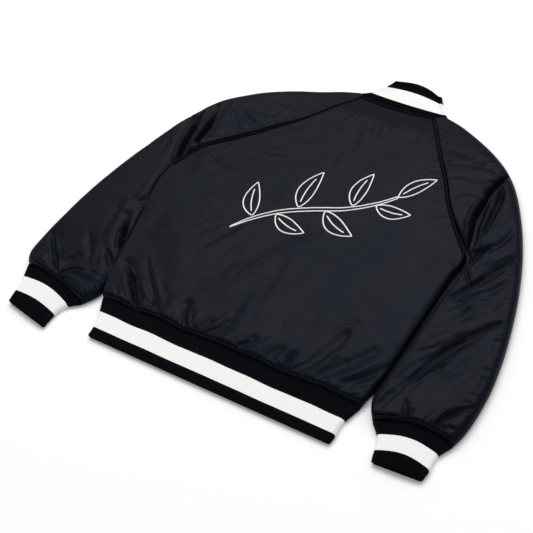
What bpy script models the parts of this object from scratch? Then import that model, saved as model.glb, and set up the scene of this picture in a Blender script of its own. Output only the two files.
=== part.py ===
"""Varsity jacket, laid flat on its front with its back up.

Each cut and sewn piece is one closed solid. The lower layer (two fronts and the front halves of the
sleeves) lies flat on the surface. The upper layer (back and the back halves of the sleeves) lies on
it, rounds over at its free edges and carries the folds and gathers in its outer points.
Metres. +X runs across the jacket to its right sleeve, +Y runs up to the neck, +Z is up.
"""
import math
from collections import namedtuple

import bmesh
import bpy
from mathutils import Matrix, Vector

# ---- driving dimensions ------------------------------------------------------------------------
SEAM_GAP = 0.0003           # between two pieces at a seam
SIDE_GAP = SEAM_GAP / 2     # each piece's share of it

LOWER_WALL = 0.0065         # satin, wadding and lining of the fronts, pressed flat
UPPER_WALL = 0.0080         # the same cloth in the back, with its loft
AIR = 0.0035                # most air between the two layers
RIM = LOWER_WALL + SEAM_GAP  # where the upper layer starts, at the side seams
EDGE_WALL = 0.0050          # width of the upper layer's cut edge at a side seam
LEAST_WALL = 0.0045         # the upper layer is nowhere thinner, in the deepest fold

BODY_TOP = 0.0200           # outer height of the back, between folds
SLEEVE_TOP = 0.0235         # outer height of the sleeves
RAGLAN_TOP = 0.0155         # at the raglan seams
NECK_TOP = 0.0125           # at the collar seam
HEM_TOP = 0.0135            # at the hem rib's seam
CUFF_TOP = 0.0160           # at the cuff seams

UPPER_ROLL = 0.024          # how far in a free edge of the upper layer rounds over
END_TUCK = 0.0025           # how far the lining's side lies back from a rib seam

RIB_WALL = 0.0045           # doubled rib knit of the hem and the collar
RIB_END_TOP = 0.0105        # outer height of the hem and collar at their folded ends
RIB_TIP = 0.45              # a folded end rounds out by this share of the wall
HEM_STEP = 0.0015           # the hem rib lies this much lower than the back at their seam
COLLAR_STEP = 0.0008        # and the collar this much
CUFF_WALL = 0.0050          # doubled rib knit of the cuffs
CUFF_SIDE = 0.0125          # outer height of the cuffs where they turn over
CUFF_ARCH = 0.0014          # how much higher they are along the middle
LOWER_ROLL = CUFF_SIDE / 2  # how far in a free edge of the lower layer lifts off the surface

CENTRE_FRONT = -0.005       # x of the front closure
PLACKET_LAP = 0.014         # each front runs this far past the centre
PLACKET_WALL = 0.0021       # the placket has no wadding
PLACKET_EDGE = 0.0012       # it starts this far beyond the edge that laps it
PLACKET_STEP = 0.0048       # and the front thins down to it over this distance
SNAP_COUNT = 7
SNAP_RADIUS = 0.0075
SNAP_THICK = 0.0013
SNAP_FACE = 0.9             # the cap's face is this share of its rim
SNAP_FIRST_Y = 0.118
SNAP_LAST_Y = 0.598

# Over how many rows of the tables below a height or a curve changes.
ARMPIT_RISE = 2.4           # the edge, from free at the armpit to sewn
RAGLAN_FALL = 3.0           # the raglan seam, down to the neck
HEM_ROUND = 0.34            # the back, down to the hem seam
NECK_ROUND = 2.0            # the back, down to the neck seam
SHOULDER_RISE = 5.0         # a sleeve, up from the neck
CUFF_ROUND = 0.5            # a sleeve, down to the cuff seam
WAVE_REACH = 1.1            # the waves of the hem seam
DIP_REACH = 6.5             # the curves of the necklines
CUFF_REACH = 2.0            # the bow of the cuff seams
SEAM_FOLD = 0.4             # share of a fold's height that is left at the hem and cuff seams
WIDEST_ROLL = 0.36          # a free edge rounds over at most this share of a row

# ---- tables ------------------------------------------------------------------------------------
# Outline of the body, from the hem seam (row 0) by the armpits (row 6) to the neck (row 15).
# From the armpit up, the edge is the raglan seam.
Body = namedtuple("Body", "left_x left_y right_x right_y")
BODY = [
    Body(-0.301, 0.083, 0.2865, 0.083),
    Body(-0.318, 0.130, 0.290, 0.130),
    Body(-0.331, 0.190, 0.292, 0.190),
    Body(-0.346, 0.260, 0.292, 0.260),
    Body(-0.363, 0.320, 0.295, 0.320),
    Body(-0.372, 0.370, 0.299, 0.370),
    Body(-0.366, 0.418, 0.303, 0.418),
    Body(-0.349, 0.455, 0.271, 0.455),
    Body(-0.320, 0.490, 0.240, 0.490),
    Body(-0.281, 0.520, 0.215, 0.520),
    Body(-0.243, 0.550, 0.195, 0.550),
    Body(-0.210, 0.580, 0.173, 0.580),
    Body(-0.178, 0.610, 0.149, 0.610),
    Body(-0.141, 0.652, 0.1195, 0.650),
    Body(-0.115, 0.684, 0.0975, 0.680),
    Body(-0.0940, 0.7105, 0.0785, 0.7045),
]
ARMPIT_ROW = 6
NECK_ROW = 15

# Outline of each sleeve, from the neck (row 0) by the armpit (row 9) to the cuff seam (row 16).
# Down to the armpit the inner edge is the body's raglan seam.
Sleeve = namedtuple("Sleeve", "inner_x inner_y outer_x outer_y")
SLEEVE_ARMPIT_ROW = NECK_ROW - ARMPIT_ROW
LEFT_SHOULDER = [(-0.103, 0.7180), (-0.140, 0.7105), (-0.185, 0.695), (-0.231, 0.680), (-0.275, 0.662),
                 (-0.315, 0.642), (-0.350, 0.620), (-0.380, 0.596), (-0.409, 0.555), (-0.436, 0.502)]
LEFT_ARM = [
    Sleeve(-0.376, 0.370, -0.461, 0.437),
    Sleeve(-0.367, 0.320, -0.483, 0.372),
    Sleeve(-0.350, 0.260, -0.502, 0.300),
    Sleeve(-0.335, 0.190, -0.515, 0.220),
    Sleeve(-0.322, 0.132, -0.521, 0.152),
    Sleeve(-0.313, 0.090, -0.521, 0.112),
    Sleeve(-0.334, 0.056, -0.508, 0.088),
]
RIGHT_SHOULDER = [(0.100, 0.7135), (0.137, 0.703), (0.179, 0.685), (0.224, 0.662), (0.261, 0.638),
                  (0.293, 0.611), (0.321, 0.578), (0.346, 0.541), (0.371, 0.499), (0.396, 0.449)]
RIGHT_ARM = [
    Sleeve(0.304, 0.370, 0.420, 0.390),
    Sleeve(0.300, 0.320, 0.440, 0.328),
    Sleeve(0.2965, 0.260, 0.457, 0.262),
    Sleeve(0.2965, 0.190, 0.468, 0.196),
    Sleeve(0.295, 0.132, 0.470, 0.140),
    Sleeve(0.298, 0.098, 0.467, 0.105),
    Sleeve(0.318, 0.067, 0.461, 0.082),
]

# Ribs: where each edge between knitted stripes meets the two sides, from the seam outwards.
Stripe = namedtuple("Stripe", "left_x left_y right_x right_y bow")
HEM_STRIPES = [
    Stripe(-0.301, 0.0830, 0.2865, 0.0830, 0.0),
    Stripe(-0.286, 0.0535, 0.2750, 0.0480, 0.0),
    Stripe(-0.275, 0.0200, 0.2745, 0.0180, 0.0),
    Stripe(-0.273, 0.0030, 0.2730, 0.0030, 0.0),
]
COLLAR_STRIPES = [
    Stripe(-0.1030, 0.7180, 0.1000, 0.7135, 0.0),
    Stripe(-0.0840, 0.7285, 0.0945, 0.7200, -0.002),
    Stripe(-0.0615, 0.7535, 0.0720, 0.7445, 0.006),
    Stripe(-0.0520, 0.7700, 0.0615, 0.7610, 0.014),
]
LEFT_CUFF_STRIPES = [
    Stripe(-0.508, 0.088, -0.334, 0.056, 0.006),
    Stripe(-0.4965, 0.0575, -0.3585, 0.0395, 0.009),
    Stripe(-0.489, 0.024, -0.3725, 0.0115, 0.005),
    Stripe(-0.485, 0.001, -0.375, -0.018, 0.0),
]
RIGHT_CUFF_STRIPES = [
    Stripe(0.318, 0.067, 0.461, 0.082, 0.012),
    Stripe(0.339, 0.0465, 0.448, 0.0565, 0.0105),
    Stripe(0.3495, 0.0195, 0.4475, 0.0275, 0.0095),
    Stripe(0.355, 0.0035, 0.4455, 0.0095, 0.0),
]

# The back's neck seam dips at its centre, and the front neckline is a scoop down to the closure.
NECK_DIP = 0.005
FRONT_NECK_LEFT = [(-0.087, 0.681), (-0.072, 0.654), (-0.050, 0.632)]
FRONT_NECK_RIGHT = [(0.073, 0.677), (0.061, 0.652), (0.042, 0.632)]
FRONT_NECK_Y = 0.622
FRONT_COLLAR_HEIGHT = 0.064
FRONT_COLLAR_SHARES = [0.0, 0.30, 0.80, 1.0]    # of that height, at each stripe edge
FRONT_COLLAR_LEAN = 1.07    # sideways lean at the shoulder, for each unit up
NECK_FLAT = 0.024           # the neckline is straight this far each side of the closure

# The hem seam rises and falls where the back is gathered into the rib.
Wave = namedtuple("Wave", "x rise")
HEM_WAVE = [
    Wave(-0.301, -0.2), Wave(-0.270, 0.9), Wave(-0.218, -1.0), Wave(-0.165, 1.0), Wave(-0.103, -1.0),
    Wave(-0.058, -0.2), Wave(-0.020, 0.8), Wave(0.030, 0.2), Wave(0.075, 0.5), Wave(0.123, -1.0),
    Wave(0.170, 0.0), Wave(0.223, 0.9), Wave(0.260, -0.3), Wave(0.2865, -0.6),
]
WAVE_HEIGHT = 0.0022        # up from the surface
WAVE_SHIFT = 0.0015         # towards the neck
WAVE_FADE = 0.12            # share of the width over which it fades out at each side
RIB_WAVE = 0.8              # the rib takes this share of the rise

# Cross section of a front towards its closure: distance from its edge, underside and top side.
Lap = namedtuple("Lap", "from_edge low high")

# Folds and gathers: a ridge (height above 0) or trough (below 0) along a line, and its half width.
Fold = namedtuple("Fold", "x0 y0 x1 y1 width height")
BACK_FOLDS = [
    # gathers above the hem rib, from the left side to the right
    Fold(-0.300, 0.166, -0.262, 0.134, 0.009, -0.0040),
    Fold(-0.262, 0.134, -0.217, 0.088, 0.009, -0.0055),
    Fold(-0.283, 0.150, -0.236, 0.090, 0.010, 0.0018),
    Fold(-0.238, 0.138, -0.186, 0.088, 0.011, 0.0022),
    Fold(-0.205, 0.128, -0.180, 0.088, 0.009, -0.0022),
    Fold(-0.150, 0.128, -0.146, 0.088, 0.010, 0.0016),
    Fold(-0.125, 0.132, -0.100, 0.086, 0.009, -0.0030),
    Fold(-0.090, 0.118, -0.084, 0.086, 0.009, 0.0018),
    Fold(-0.058, 0.116, -0.074, 0.084, 0.009, -0.0024),
    Fold(-0.034, 0.138, -0.060, 0.084, 0.009, 0.0018),
    Fold(-0.020, 0.128, -0.044, 0.084, 0.009, -0.0022),
    Fold(0.008, 0.120, -0.010, 0.084, 0.010, 0.0018),
    Fold(0.040, 0.116, 0.020, 0.083, 0.009, -0.0028),
    Fold(0.070, 0.122, 0.052, 0.084, 0.010, 0.0018),
    Fold(0.098, 0.116, 0.080, 0.085, 0.009, -0.0028),
    Fold(0.115, 0.124, 0.106, 0.084, 0.009, 0.0014),
    Fold(0.126, 0.118, 0.128, 0.080, 0.009, -0.0026),
    Fold(0.190, 0.190, 0.154, 0.084, 0.009, -0.0026),
    Fold(0.198, 0.150, 0.176, 0.086, 0.009, 0.0020),
    Fold(0.257, 0.180, 0.196, 0.100, 0.010, -0.0026),
    Fold(0.268, 0.160, 0.226, 0.096, 0.010, 0.0020),
    Fold(0.292, 0.160, 0.248, 0.104, 0.010, -0.0024),
    # long soft drags across the back
    Fold(-0.018, 0.360, -0.133, 0.187, 0.022, -0.0016),
    Fold(0.020, 0.330, -0.060, 0.190, 0.024, 0.0012),
    Fold(-0.011, 0.281, -0.038, 0.130, 0.018, -0.0016),
    Fold(0.100, 0.281, 0.072, 0.160, 0.020, -0.0014),
    Fold(-0.280, 0.300, -0.190, 0.200, 0.026, 0.0012),
    Fold(0.230, 0.300, 0.180, 0.210, 0.024, 0.0012),
    # at the armpits
    Fold(-0.330, 0.470, -0.300, 0.430, 0.016, 0.0016),
    Fold(0.262, 0.430, 0.235, 0.380, 0.018, -0.0014),
]
LEFT_SLEEVE_FOLDS = [
    Fold(-0.372, 0.574, -0.356, 0.492, 0.011, -0.0085),
    Fold(-0.402, 0.528, -0.370, 0.440, 0.011, -0.0100),
    Fold(-0.398, 0.552, -0.382, 0.500, 0.011, -0.0040),
    Fold(-0.388, 0.560, -0.362, 0.470, 0.011, 0.0018),
    Fold(-0.346, 0.590, -0.326, 0.520, 0.012, 0.0020),
    Fold(-0.420, 0.500, -0.396, 0.420, 0.016, 0.0022),
    Fold(-0.376, 0.262, -0.340, 0.186, 0.011, -0.0070),
    Fold(-0.364, 0.330, -0.366, 0.290, 0.011, -0.0050),
    Fold(-0.395, 0.290, -0.372, 0.200, 0.014, 0.0016),
    Fold(-0.493, 0.162, -0.448, 0.116, 0.011, -0.0045),
    Fold(-0.448, 0.116, -0.428, 0.082, 0.011, -0.0050),
    Fold(-0.416, 0.086, -0.409, 0.136, 0.011, -0.0035),
    Fold(-0.412, 0.090, -0.385, 0.109, 0.011, 0.0028),
    Fold(-0.385, 0.109, -0.330, 0.117, 0.011, 0.0028),
    Fold(-0.405, 0.080, -0.352, 0.098, 0.011, -0.0024),
    Fold(-0.413, 0.190, -0.385, 0.140, 0.011, -0.0018),
    Fold(-0.352, 0.166, -0.320, 0.132, 0.011, -0.0030),
    Fold(-0.478, 0.104, -0.470, 0.140, 0.011, 0.0018),
]
RIGHT_SLEEVE_FOLDS = [
    Fold(0.282, 0.612, 0.277, 0.561, 0.011, -0.0090),
    Fold(0.277, 0.561, 0.280, 0.505, 0.011, -0.0105),
    Fold(0.280, 0.505, 0.296, 0.450, 0.011, -0.0085),
    Fold(0.303, 0.556, 0.302, 0.495, 0.011, -0.0040),
    Fold(0.302, 0.495, 0.310, 0.445, 0.011, -0.0030),
    Fold(0.293, 0.585, 0.290, 0.505, 0.011, 0.0020),
    Fold(0.320, 0.560, 0.320, 0.470, 0.012, 0.0018),
    Fold(0.252, 0.600, 0.258, 0.520, 0.016, 0.0016),
    Fold(0.357, 0.498, 0.337, 0.447, 0.011, -0.0020),
    Fold(0.388, 0.450, 0.355, 0.412, 0.011, -0.0045),
    Fold(0.355, 0.412, 0.328, 0.356, 0.011, -0.0045),
    Fold(0.352, 0.390, 0.330, 0.345, 0.011, 0.0020),
    Fold(0.360, 0.374, 0.320, 0.324, 0.011, -0.0045),
    Fold(0.401, 0.379, 0.331, 0.312, 0.011, -0.0022),
    Fold(0.422, 0.365, 0.370, 0.310, 0.011, -0.0022),
    Fold(0.370, 0.310, 0.308, 0.205, 0.011, -0.0028),
    Fold(0.427, 0.312, 0.379, 0.259, 0.011, -0.0035),
    Fold(0.379, 0.259, 0.322, 0.145, 0.011, -0.0045),
    Fold(0.400, 0.270, 0.345, 0.175, 0.012, 0.0018),
    Fold(0.345, 0.254, 0.310, 0.192, 0.011, 0.0018),
    Fold(0.427, 0.240, 0.324, 0.092, 0.011, -0.0022),
    Fold(0.342, 0.180, 0.316, 0.110, 0.011, 0.0022),
    Fold(0.356, 0.112, 0.372, 0.088, 0.011, -0.0030),
    Fold(0.451, 0.145, 0.421, 0.096, 0.011, -0.0040),
    Fold(0.421, 0.090, 0.456, 0.101, 0.011, -0.0030),
    Fold(0.398, 0.124, 0.392, 0.094, 0.011, 0.0016),
]

# ---- rows and columns of the cloth grids -------------------------------------------------------
HEM_ROWS = [0.0, 0.06, 0.16, 0.34, 0.56, 0.80, 1.10]
RAGLAN_STEP = 0.5
BODY_ROWS = HEM_ROWS + [1.5 + RAGLAN_STEP * i for i in range(28)]
SLEEVE_ROWS = ([0.0, 0.2] + [0.5 * i for i in range(1, 10)] + [4.75 + 0.25 * i for i in range(18)]
               + [9.25 + 0.25 * i for i in range(25)] + [15.45, 15.65, 15.85, 16.0])
FRONT_ROWS = [0.0, 1.0, 2.0, 3.0, 4.0, 5.0] + [6.0 + i for i in range(10)]
UNDER_ROWS = [float(i) for i in range(16)] + [15.5, 16.0]
UPPER_ANGLES = [0.0, 22.0, 44.0, 66.0, 90.0]
LOWER_ANGLES = [14.0, 40.0, 65.0, 90.0]
BACK_COLUMNS = 56
SLEEVE_COLUMNS = 14
PLAIN_COLUMNS = 6
UNDER_COLUMNS = 8
CUFF_COLUMNS = 10
TURN_ANGLES = [45.0, 90.0, 135.0]
HEM_UNDER_SHARES = [0.0, 0.24, 0.48, 0.74, 1.0]
NECK_SEAM_SHARES = [0.02, 0.15, 0.3, 0.45, 0.6, 0.72, 0.86, 0.98]


# ---- small functions ---------------------------------------------------------------------------
def mix(a, b, t):
    """The value a share t of the way from a to b."""
    return a + (b - a) * t


def ease(t):
    """A soft step from 0 to 1."""
    t = min(max(t, 0.0), 1.0)
    return t * t * (3.0 - 2.0 * t)


def at(spot, height):
    """A plan point, put at a height."""
    return Vector((spot.x, spot.y, height))


def smooth(rows, u):
    """Every column of a table at row position u, on a smooth curve through the rows."""
    last = len(rows) - 1
    i = min(int(max(u, 0.0)), last - 1)
    t = u - i
    quad = zip(rows[max(i - 1, 0)], rows[i], rows[i + 1], rows[min(i + 2, last)])
    return [0.5 * (2 * b + (c - a) * t + (2 * a - 5 * b + 4 * c - d) * t ** 2
                   + (3 * b - a - 3 * c + d) * t ** 3) for a, b, c, d in quad]


def fold_height(folds, x, y):
    """The height that all folds of a piece add at a point."""
    total = 0.0
    for f in folds:
        run_x, run_y = f.x1 - f.x0, f.y1 - f.y0
        t = ((x - f.x0) * run_x + (y - f.y0) * run_y) / (run_x ** 2 + run_y ** 2)
        t = min(max(t, 0.0), 1.0)
        away = math.hypot(x - f.x0 - run_x * t, y - f.y0 - run_y * t)
        total += f.height * math.exp(-(away / f.width) ** 2)
    return total


def hem_rise(x):
    """How far the hem seam is lifted at x, from -1 to 1. It fades out towards both sides."""
    share = (x - BODY[0].left_x) / (BODY[0].right_x - BODY[0].left_x)
    ends = min(1.0, max(share, 0.0) / WAVE_FADE, max(1.0 - share, 0.0) / WAVE_FADE)
    for a, b in zip(HEM_WAVE, HEM_WAVE[1:]):
        if x <= b.x:
            return ends * mix(a.rise, b.rise, ease((x - a.x) / (b.x - a.x)))
    return 0.0


def body_edge(row, side):
    """Point on the body's edge: side -1 is the left, 1 is the right."""
    left_x, left_y, right_x, right_y = smooth(BODY, row)
    return Vector((left_x, left_y)) if side < 0 else Vector((right_x, right_y))


def raglan_point(row, side):
    """Point on the raglan seam, on the straight runs between the back's own rows."""
    low = min(math.floor(row / RAGLAN_STEP) * RAGLAN_STEP, NECK_ROW - RAGLAN_STEP)
    return mix(body_edge(low, side), body_edge(low + RAGLAN_STEP, side), (row - low) / RAGLAN_STEP)


def seam_share(row):
    """0 where the body's edge is free, 1 where it is sewn to the sleeve."""
    return ease((row - ARMPIT_ROW) / ARMPIT_RISE)


def raglan_height(row):
    """Outer height of the body's edge, the same for the back and the sleeve sewn to it."""
    sewn = mix(NECK_TOP, RAGLAN_TOP, ease((NECK_ROW - row) / RAGLAN_FALL))
    return mix(RIM, sewn, seam_share(row))


# ---- building ----------------------------------------------------------------------------------
def clear_scene():
    for thing in list(bpy.data.objects):
        bpy.data.objects.remove(thing, do_unlink=True)


def make_material(name, colour, roughness):
    material = bpy.data.materials.new(name)
    material.use_nodes = True
    shader = material.node_tree.nodes["Principled BSDF"]
    shader.inputs["Base Color"].default_value = (*colour, 1.0)
    shader.inputs["Roughness"].default_value = roughness
    shader.inputs["Metallic"].default_value = 0.0
    return material


def add_mesh(name, mesh_data, materials, collection, stripe_slots=None):
    """Close a bmesh into a named object, with its faces turned outwards."""
    bmesh.ops.recalc_face_normals(mesh_data, faces=mesh_data.faces)
    mesh = bpy.data.meshes.new(name)
    mesh_data.to_mesh(mesh)
    mesh_data.free()
    for material in materials:
        mesh.materials.append(material)
    if stripe_slots:
        for face, slot in zip(mesh.polygons, stripe_slots):
            face.material_index = slot
    mesh.shade_smooth()
    mesh.set_sharp_from_angle(angle=math.radians(50))
    thing = bpy.data.objects.new(name, mesh)
    collection.objects.link(thing)
    return thing


def join_chains(work, chain_a, chain_b):
    """Fill between two rows of vertices that have different counts."""
    a, b = 0, 0
    last_a, last_b = len(chain_a) - 1, len(chain_b) - 1
    while a < last_a or b < last_b:
        step_a = b == last_b or (a < last_a and (a + 1) / last_a <= (b + 1) / last_b)
        if step_a:
            work.faces.new((chain_a[a], chain_a[a + 1], chain_b[b]))
            a += 1
        else:
            work.faces.new((chain_a[a], chain_b[b + 1], chain_b[b]))
            b += 1


def cloth_solid(name, outer, inner, material, collection):
    """A cloth piece from its outer and inner rows of points. Rows pair up, and columns need not."""
    work = bmesh.new()
    out = [[work.verts.new(p) for p in row] for row in outer]
    ins = [[work.verts.new(p) for p in row] for row in inner]
    for grid in (out, ins):
        for low, high in zip(grid, grid[1:]):
            for j in range(len(low) - 1):
                work.faces.new((low[j], low[j + 1], high[j + 1], high[j]))
    for i in range(len(out) - 1):
        for edge in (0, -1):
            work.faces.new((out[i][edge], out[i + 1][edge], ins[i + 1][edge], ins[i][edge]))
    join_chains(work, out[0], ins[0])
    join_chains(work, out[-1], ins[-1])
    return add_mesh(name, work, [material], collection)


def across(width, roll_a, roll_b, angles, middle):
    """Distances over a section from edge a, with the angle round the edge at each, 90 in the middle."""
    near = [(roll_a * (1.0 - math.cos(math.radians(g))), g, 0.0) for g in angles]
    far = [(width - roll_b * (1.0 - math.cos(math.radians(g))), 0.0, g) for g in reversed(angles)]
    span = width - roll_a - roll_b
    flat = [(roll_a + span * (k + 1) / middle, 0.0, 0.0) for k in range(middle - 1)]
    return near, flat, far


def upper_row(edge_a, edge_b, height_a, height_b, share_a, share_b, top, middle, bend, rise, tuck):
    """One row of the upper layer between two edge points: outer points and inner points.

    height is the outer height at an edge, share is 1 where that edge is sewn and 0 where it is free,
    bend(s) moves a point in plan, rise(x, y) adds the folds, and tuck moves the inner points back
    from a seam.
    """
    run = edge_b - edge_a
    width = run.length
    roll = min(UPPER_ROLL, WIDEST_ROLL * width)
    near, flat, far = across(width, roll, roll, UPPER_ANGLES, middle)

    def place(distance):
        s = distance / width
        return edge_a + run * s + bend(s)

    outer = []
    for group, edge_height in ((near, height_a), (flat, top), (far, height_b)):
        for distance, angle_a, angle_b in group:
            lift = 1.0 if group is flat else math.sin(math.radians(max(angle_a, angle_b)))
            spot = place(distance)
            height = mix(edge_height, top, lift) + rise(spot.x, spot.y) * lift
            floor = mix(RIM, RIM + LEAST_WALL, lift)
            outer.append(at(spot, max(height, floor)))

    inner = []
    inset_a = EDGE_WALL * (1.0 - share_a)
    inset_b = EDGE_WALL * (1.0 - share_b)
    steps = PLAIN_COLUMNS + 2
    stops = [inset_a, roll + inset_a]
    stops += [mix(roll, width - roll, k / (steps - 2)) for k in range(1, steps - 2)]
    stops += [width - roll - inset_b, width - inset_b]
    for k, distance in enumerate(stops):
        spot = place(distance) + tuck
        at_edge = k in (0, len(stops) - 1)
        air = 0.0 if at_edge else min(max(top - UPPER_WALL - RIM, 0.0), AIR)
        inner.append(at(spot, RIM + air))
    return outer, inner


def lower_row(edge_a, edge_b, share_a, share_b, middle, bend, tuck):
    """One row of the lower layer: outer points on the surface and flat inner points."""
    run = edge_b - edge_a
    width = run.length
    roll = min(LOWER_ROLL, 0.25 * width)
    near, flat, far = across(width, roll, roll, LOWER_ANGLES, middle)

    def place(distance):
        s = distance / width
        return edge_a + run * s + bend(s)

    outer = []
    for distance, angle_a, angle_b in near + flat + far:
        share = share_a if angle_a else share_b
        angle = max(angle_a, angle_b)
        lift = LOWER_WALL * (1.0 - math.sin(math.radians(angle))) * (1.0 - share) if angle else 0.0
        spot = place(distance)
        outer.append(at(spot, lift))
    inner = []
    for k in range(middle + 1):
        spot = place(width * k / middle) + tuck
        inner.append(at(spot, LOWER_WALL))
    return outer, inner


def tucked(row, last, forward):
    """How far the inner points of a piece's end rows lie back from the seam."""
    if row == 0.0:
        return forward * END_TUCK
    if row == last:
        return -forward * END_TUCK
    return Vector((0.0, 0.0))


# ---- the body ----------------------------------------------------------------------------------
def back_top(row):
    """Outer height of the back: it rounds down to the hem seam and to the neck seam."""
    hem = math.sin(math.radians(90) * min(row / HEM_ROUND, 1.0))
    neck = ease((NECK_ROW - row) / NECK_ROUND)
    return min(mix(HEM_TOP, BODY_TOP, hem), mix(NECK_TOP, BODY_TOP, neck))


def back_bend(row, edge_a, edge_b):
    """Plan shift of a row's points: the dip of the neck seam and the waves of the hem seam."""
    neck = ease(1.0 - (NECK_ROW - row) / DIP_REACH)
    hem = ease(1.0 - row / WAVE_REACH)

    def bend(s):
        dip = -NECK_DIP * math.sin(math.pi * s) * neck
        wave = WAVE_SHIFT * hem_rise(mix(edge_a.x, edge_b.x, s)) * hem
        return Vector((0.0, dip + wave))
    return bend


def back_row(row):
    left = body_edge(row, -1)
    right = body_edge(row, 1)
    if row > ARMPIT_ROW:
        left.x += SIDE_GAP + SIDE_GAP
        right.x -= SIDE_GAP + SIDE_GAP
    if row == 0.0:
        left.y += SIDE_GAP
        right.y += SIDE_GAP
    if row == NECK_ROW:
        left.y -= SIDE_GAP
        right.y -= SIDE_GAP
    height = raglan_height(row)
    share = seam_share(row)
    seam_wave = WAVE_HEIGHT * ease(1.0 - row / WAVE_REACH)
    fade = mix(SEAM_FOLD, 1.0, ease(row / HEM_ROUND)) * ease(NECK_ROW - row)

    def rise(x, y):
        return fold_height(BACK_FOLDS, x, y) * fade + hem_rise(x) * seam_wave
    return upper_row(left, right, height, height, share, share, back_top(row), BACK_COLUMNS,
                     back_bend(row, left, right), rise, tucked(row, NECK_ROW, Vector((0.0, 1.0))))


def build_back(material, collection):
    rows = [back_row(row) for row in BODY_ROWS]
    return cloth_solid("back_panel", [r[0] for r in rows], [r[1] for r in rows], material, collection)


def front_neck_points(side):
    table = FRONT_NECK_LEFT if side < 0 else FRONT_NECK_RIGHT
    return [tuple(body_edge(NECK_ROW, side))] + table + [(CENTRE_FRONT + side * NECK_FLAT, FRONT_NECK_Y)]


def front_row(row, side):
    """One row of a front, from its side seam or raglan seam to the closure.

    The left front laps under the right one here, because the jacket lies on its front: its placket
    is lifted over the snaps, and the right placket rests on it.
    """
    edge = body_edge(row, side)
    if row > ARMPIT_ROW:
        edge.x -= side * 2 * SIDE_GAP
    if row == 0.0:
        edge.y += SIDE_GAP
    if row == NECK_ROW:
        edge.y -= SIDE_GAP
    share = seam_share(row)
    lowest = body_edge(0.0, side).y
    hem_y = lowest + SIDE_GAP
    up = (body_edge(row, side).y - lowest) / (body_edge(NECK_ROW, side).y - lowest)
    strip_edge = Vector((CENTRE_FRONT + side * NECK_FLAT, mix(hem_y, FRONT_NECK_Y, up)))
    width = (strip_edge - edge).length
    neck = front_neck_points(side)
    scoop = ease(1.0 - (NECK_ROW - row) / DIP_REACH)

    def place(distance):
        share_of_row = distance / width
        curve = Vector(smooth(neck, share_of_row * (len(neck) - 1)))
        bow = curve - mix(Vector(neck[0]), Vector(neck[-1]), share_of_row)
        return mix(edge, strip_edge, share_of_row) + bow * scoop

    lap = 2 * PLACKET_LAP
    if side < 0:
        low = SEAM_GAP + SNAP_THICK + SEAM_GAP
        high = low + PLACKET_WALL
    else:
        low = LOWER_WALL - PLACKET_WALL
        high = LOWER_WALL
    strip = [Lap(lap + PLACKET_EDGE + PLACKET_STEP, 0.0, LOWER_WALL), Lap(lap + PLACKET_EDGE, low, high),
             Lap(PLACKET_LAP, low, high), Lap(0.0, low, high)]
    columns = []
    for angle in LOWER_ANGLES:
        lift = LOWER_WALL * (1.0 - math.sin(math.radians(angle))) * (1.0 - share)
        columns.append((place(LOWER_ROLL * (1.0 - math.cos(math.radians(angle)))), lift, LOWER_WALL))
    for k in range(1, PLAIN_COLUMNS + 1):
        columns.append((place(mix(LOWER_ROLL, width, k / PLAIN_COLUMNS)), 0.0, LOWER_WALL))
    for part in strip:
        x = CENTRE_FRONT + side * (part.from_edge - PLACKET_LAP)
        columns.append((Vector((x, strip_edge.y)), part.low, part.high))
    outer = [at(spot, low) for spot, low, high in columns]
    inner = [at(spot, high) for spot, low, high in columns]
    return outer, inner


def build_front(name, side, material, collection):
    rows = [front_row(row, side) for row in FRONT_ROWS]
    return cloth_solid(name, [r[0] for r in rows], [r[1] for r in rows], material, collection)


# ---- the sleeves -------------------------------------------------------------------------------
def sleeve_table(side):
    """All rows of one sleeve, from the neck to the cuff seam."""
    shoulder, arm = (LEFT_SHOULDER, LEFT_ARM) if side < 0 else (RIGHT_SHOULDER, RIGHT_ARM)
    rows = []
    for i, (outer_x, outer_y) in enumerate(shoulder):
        inner = body_edge(NECK_ROW - i, side)
        rows.append(Sleeve(inner.x, inner.y, outer_x, outer_y))
    return rows + arm


def sleeve_edges(table, side, row):
    """Edge points of a sleeve row, how far its inner edge is sewn, and the way down the arm."""
    values = Sleeve(*smooth(table, row))
    outer = Vector((values.outer_x, values.outer_y))
    if row <= SLEEVE_ARMPIT_ROW:
        inner = raglan_point(NECK_ROW - row, side)
        inner.x += side * 2 * SIDE_GAP
        share = seam_share(NECK_ROW - row)
    else:
        inner = Vector((values.inner_x, values.inner_y))
        inner.x += side * 2 * SIDE_GAP
        share = 0.0
    along = (outer - inner).normalized()
    down = Vector((along.y, -along.x)) * side
    if row == 0.0:
        inner += down * SIDE_GAP
        outer += down * SIDE_GAP
    if row == len(table) - 1:
        inner -= down * SIDE_GAP
        outer -= down * SIDE_GAP
    return inner, outer, share, down


def sleeve_bend(table, row, stripes):
    """Plan shift of a sleeve row near the cuff, whose seam is bowed towards the shoulder."""
    last = len(table) - 1
    share = ease(1.0 - (last - row) / CUFF_REACH)
    left = Vector((stripes[0].left_x, stripes[0].left_y))
    right = Vector((stripes[0].right_x, stripes[0].right_y))
    across_cuff = (right - left).normalized()
    up = Vector((-across_cuff.y, across_cuff.x))

    def bend(s):
        return up * stripes[0].bow * math.sin(math.pi * s) * share
    return bend


def sleeve_top(table, row):
    """Outer height of a sleeve: low at the neck, full over the arm, down to the cuff seam."""
    last = len(table) - 1
    shoulder = mix(NECK_TOP, SLEEVE_TOP, ease(row / SHOULDER_RISE))
    cuff = mix(CUFF_TOP, SLEEVE_TOP, math.sin(math.radians(90) * min((last - row) / CUFF_ROUND, 1.0)))
    return min(shoulder, cuff)


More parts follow.
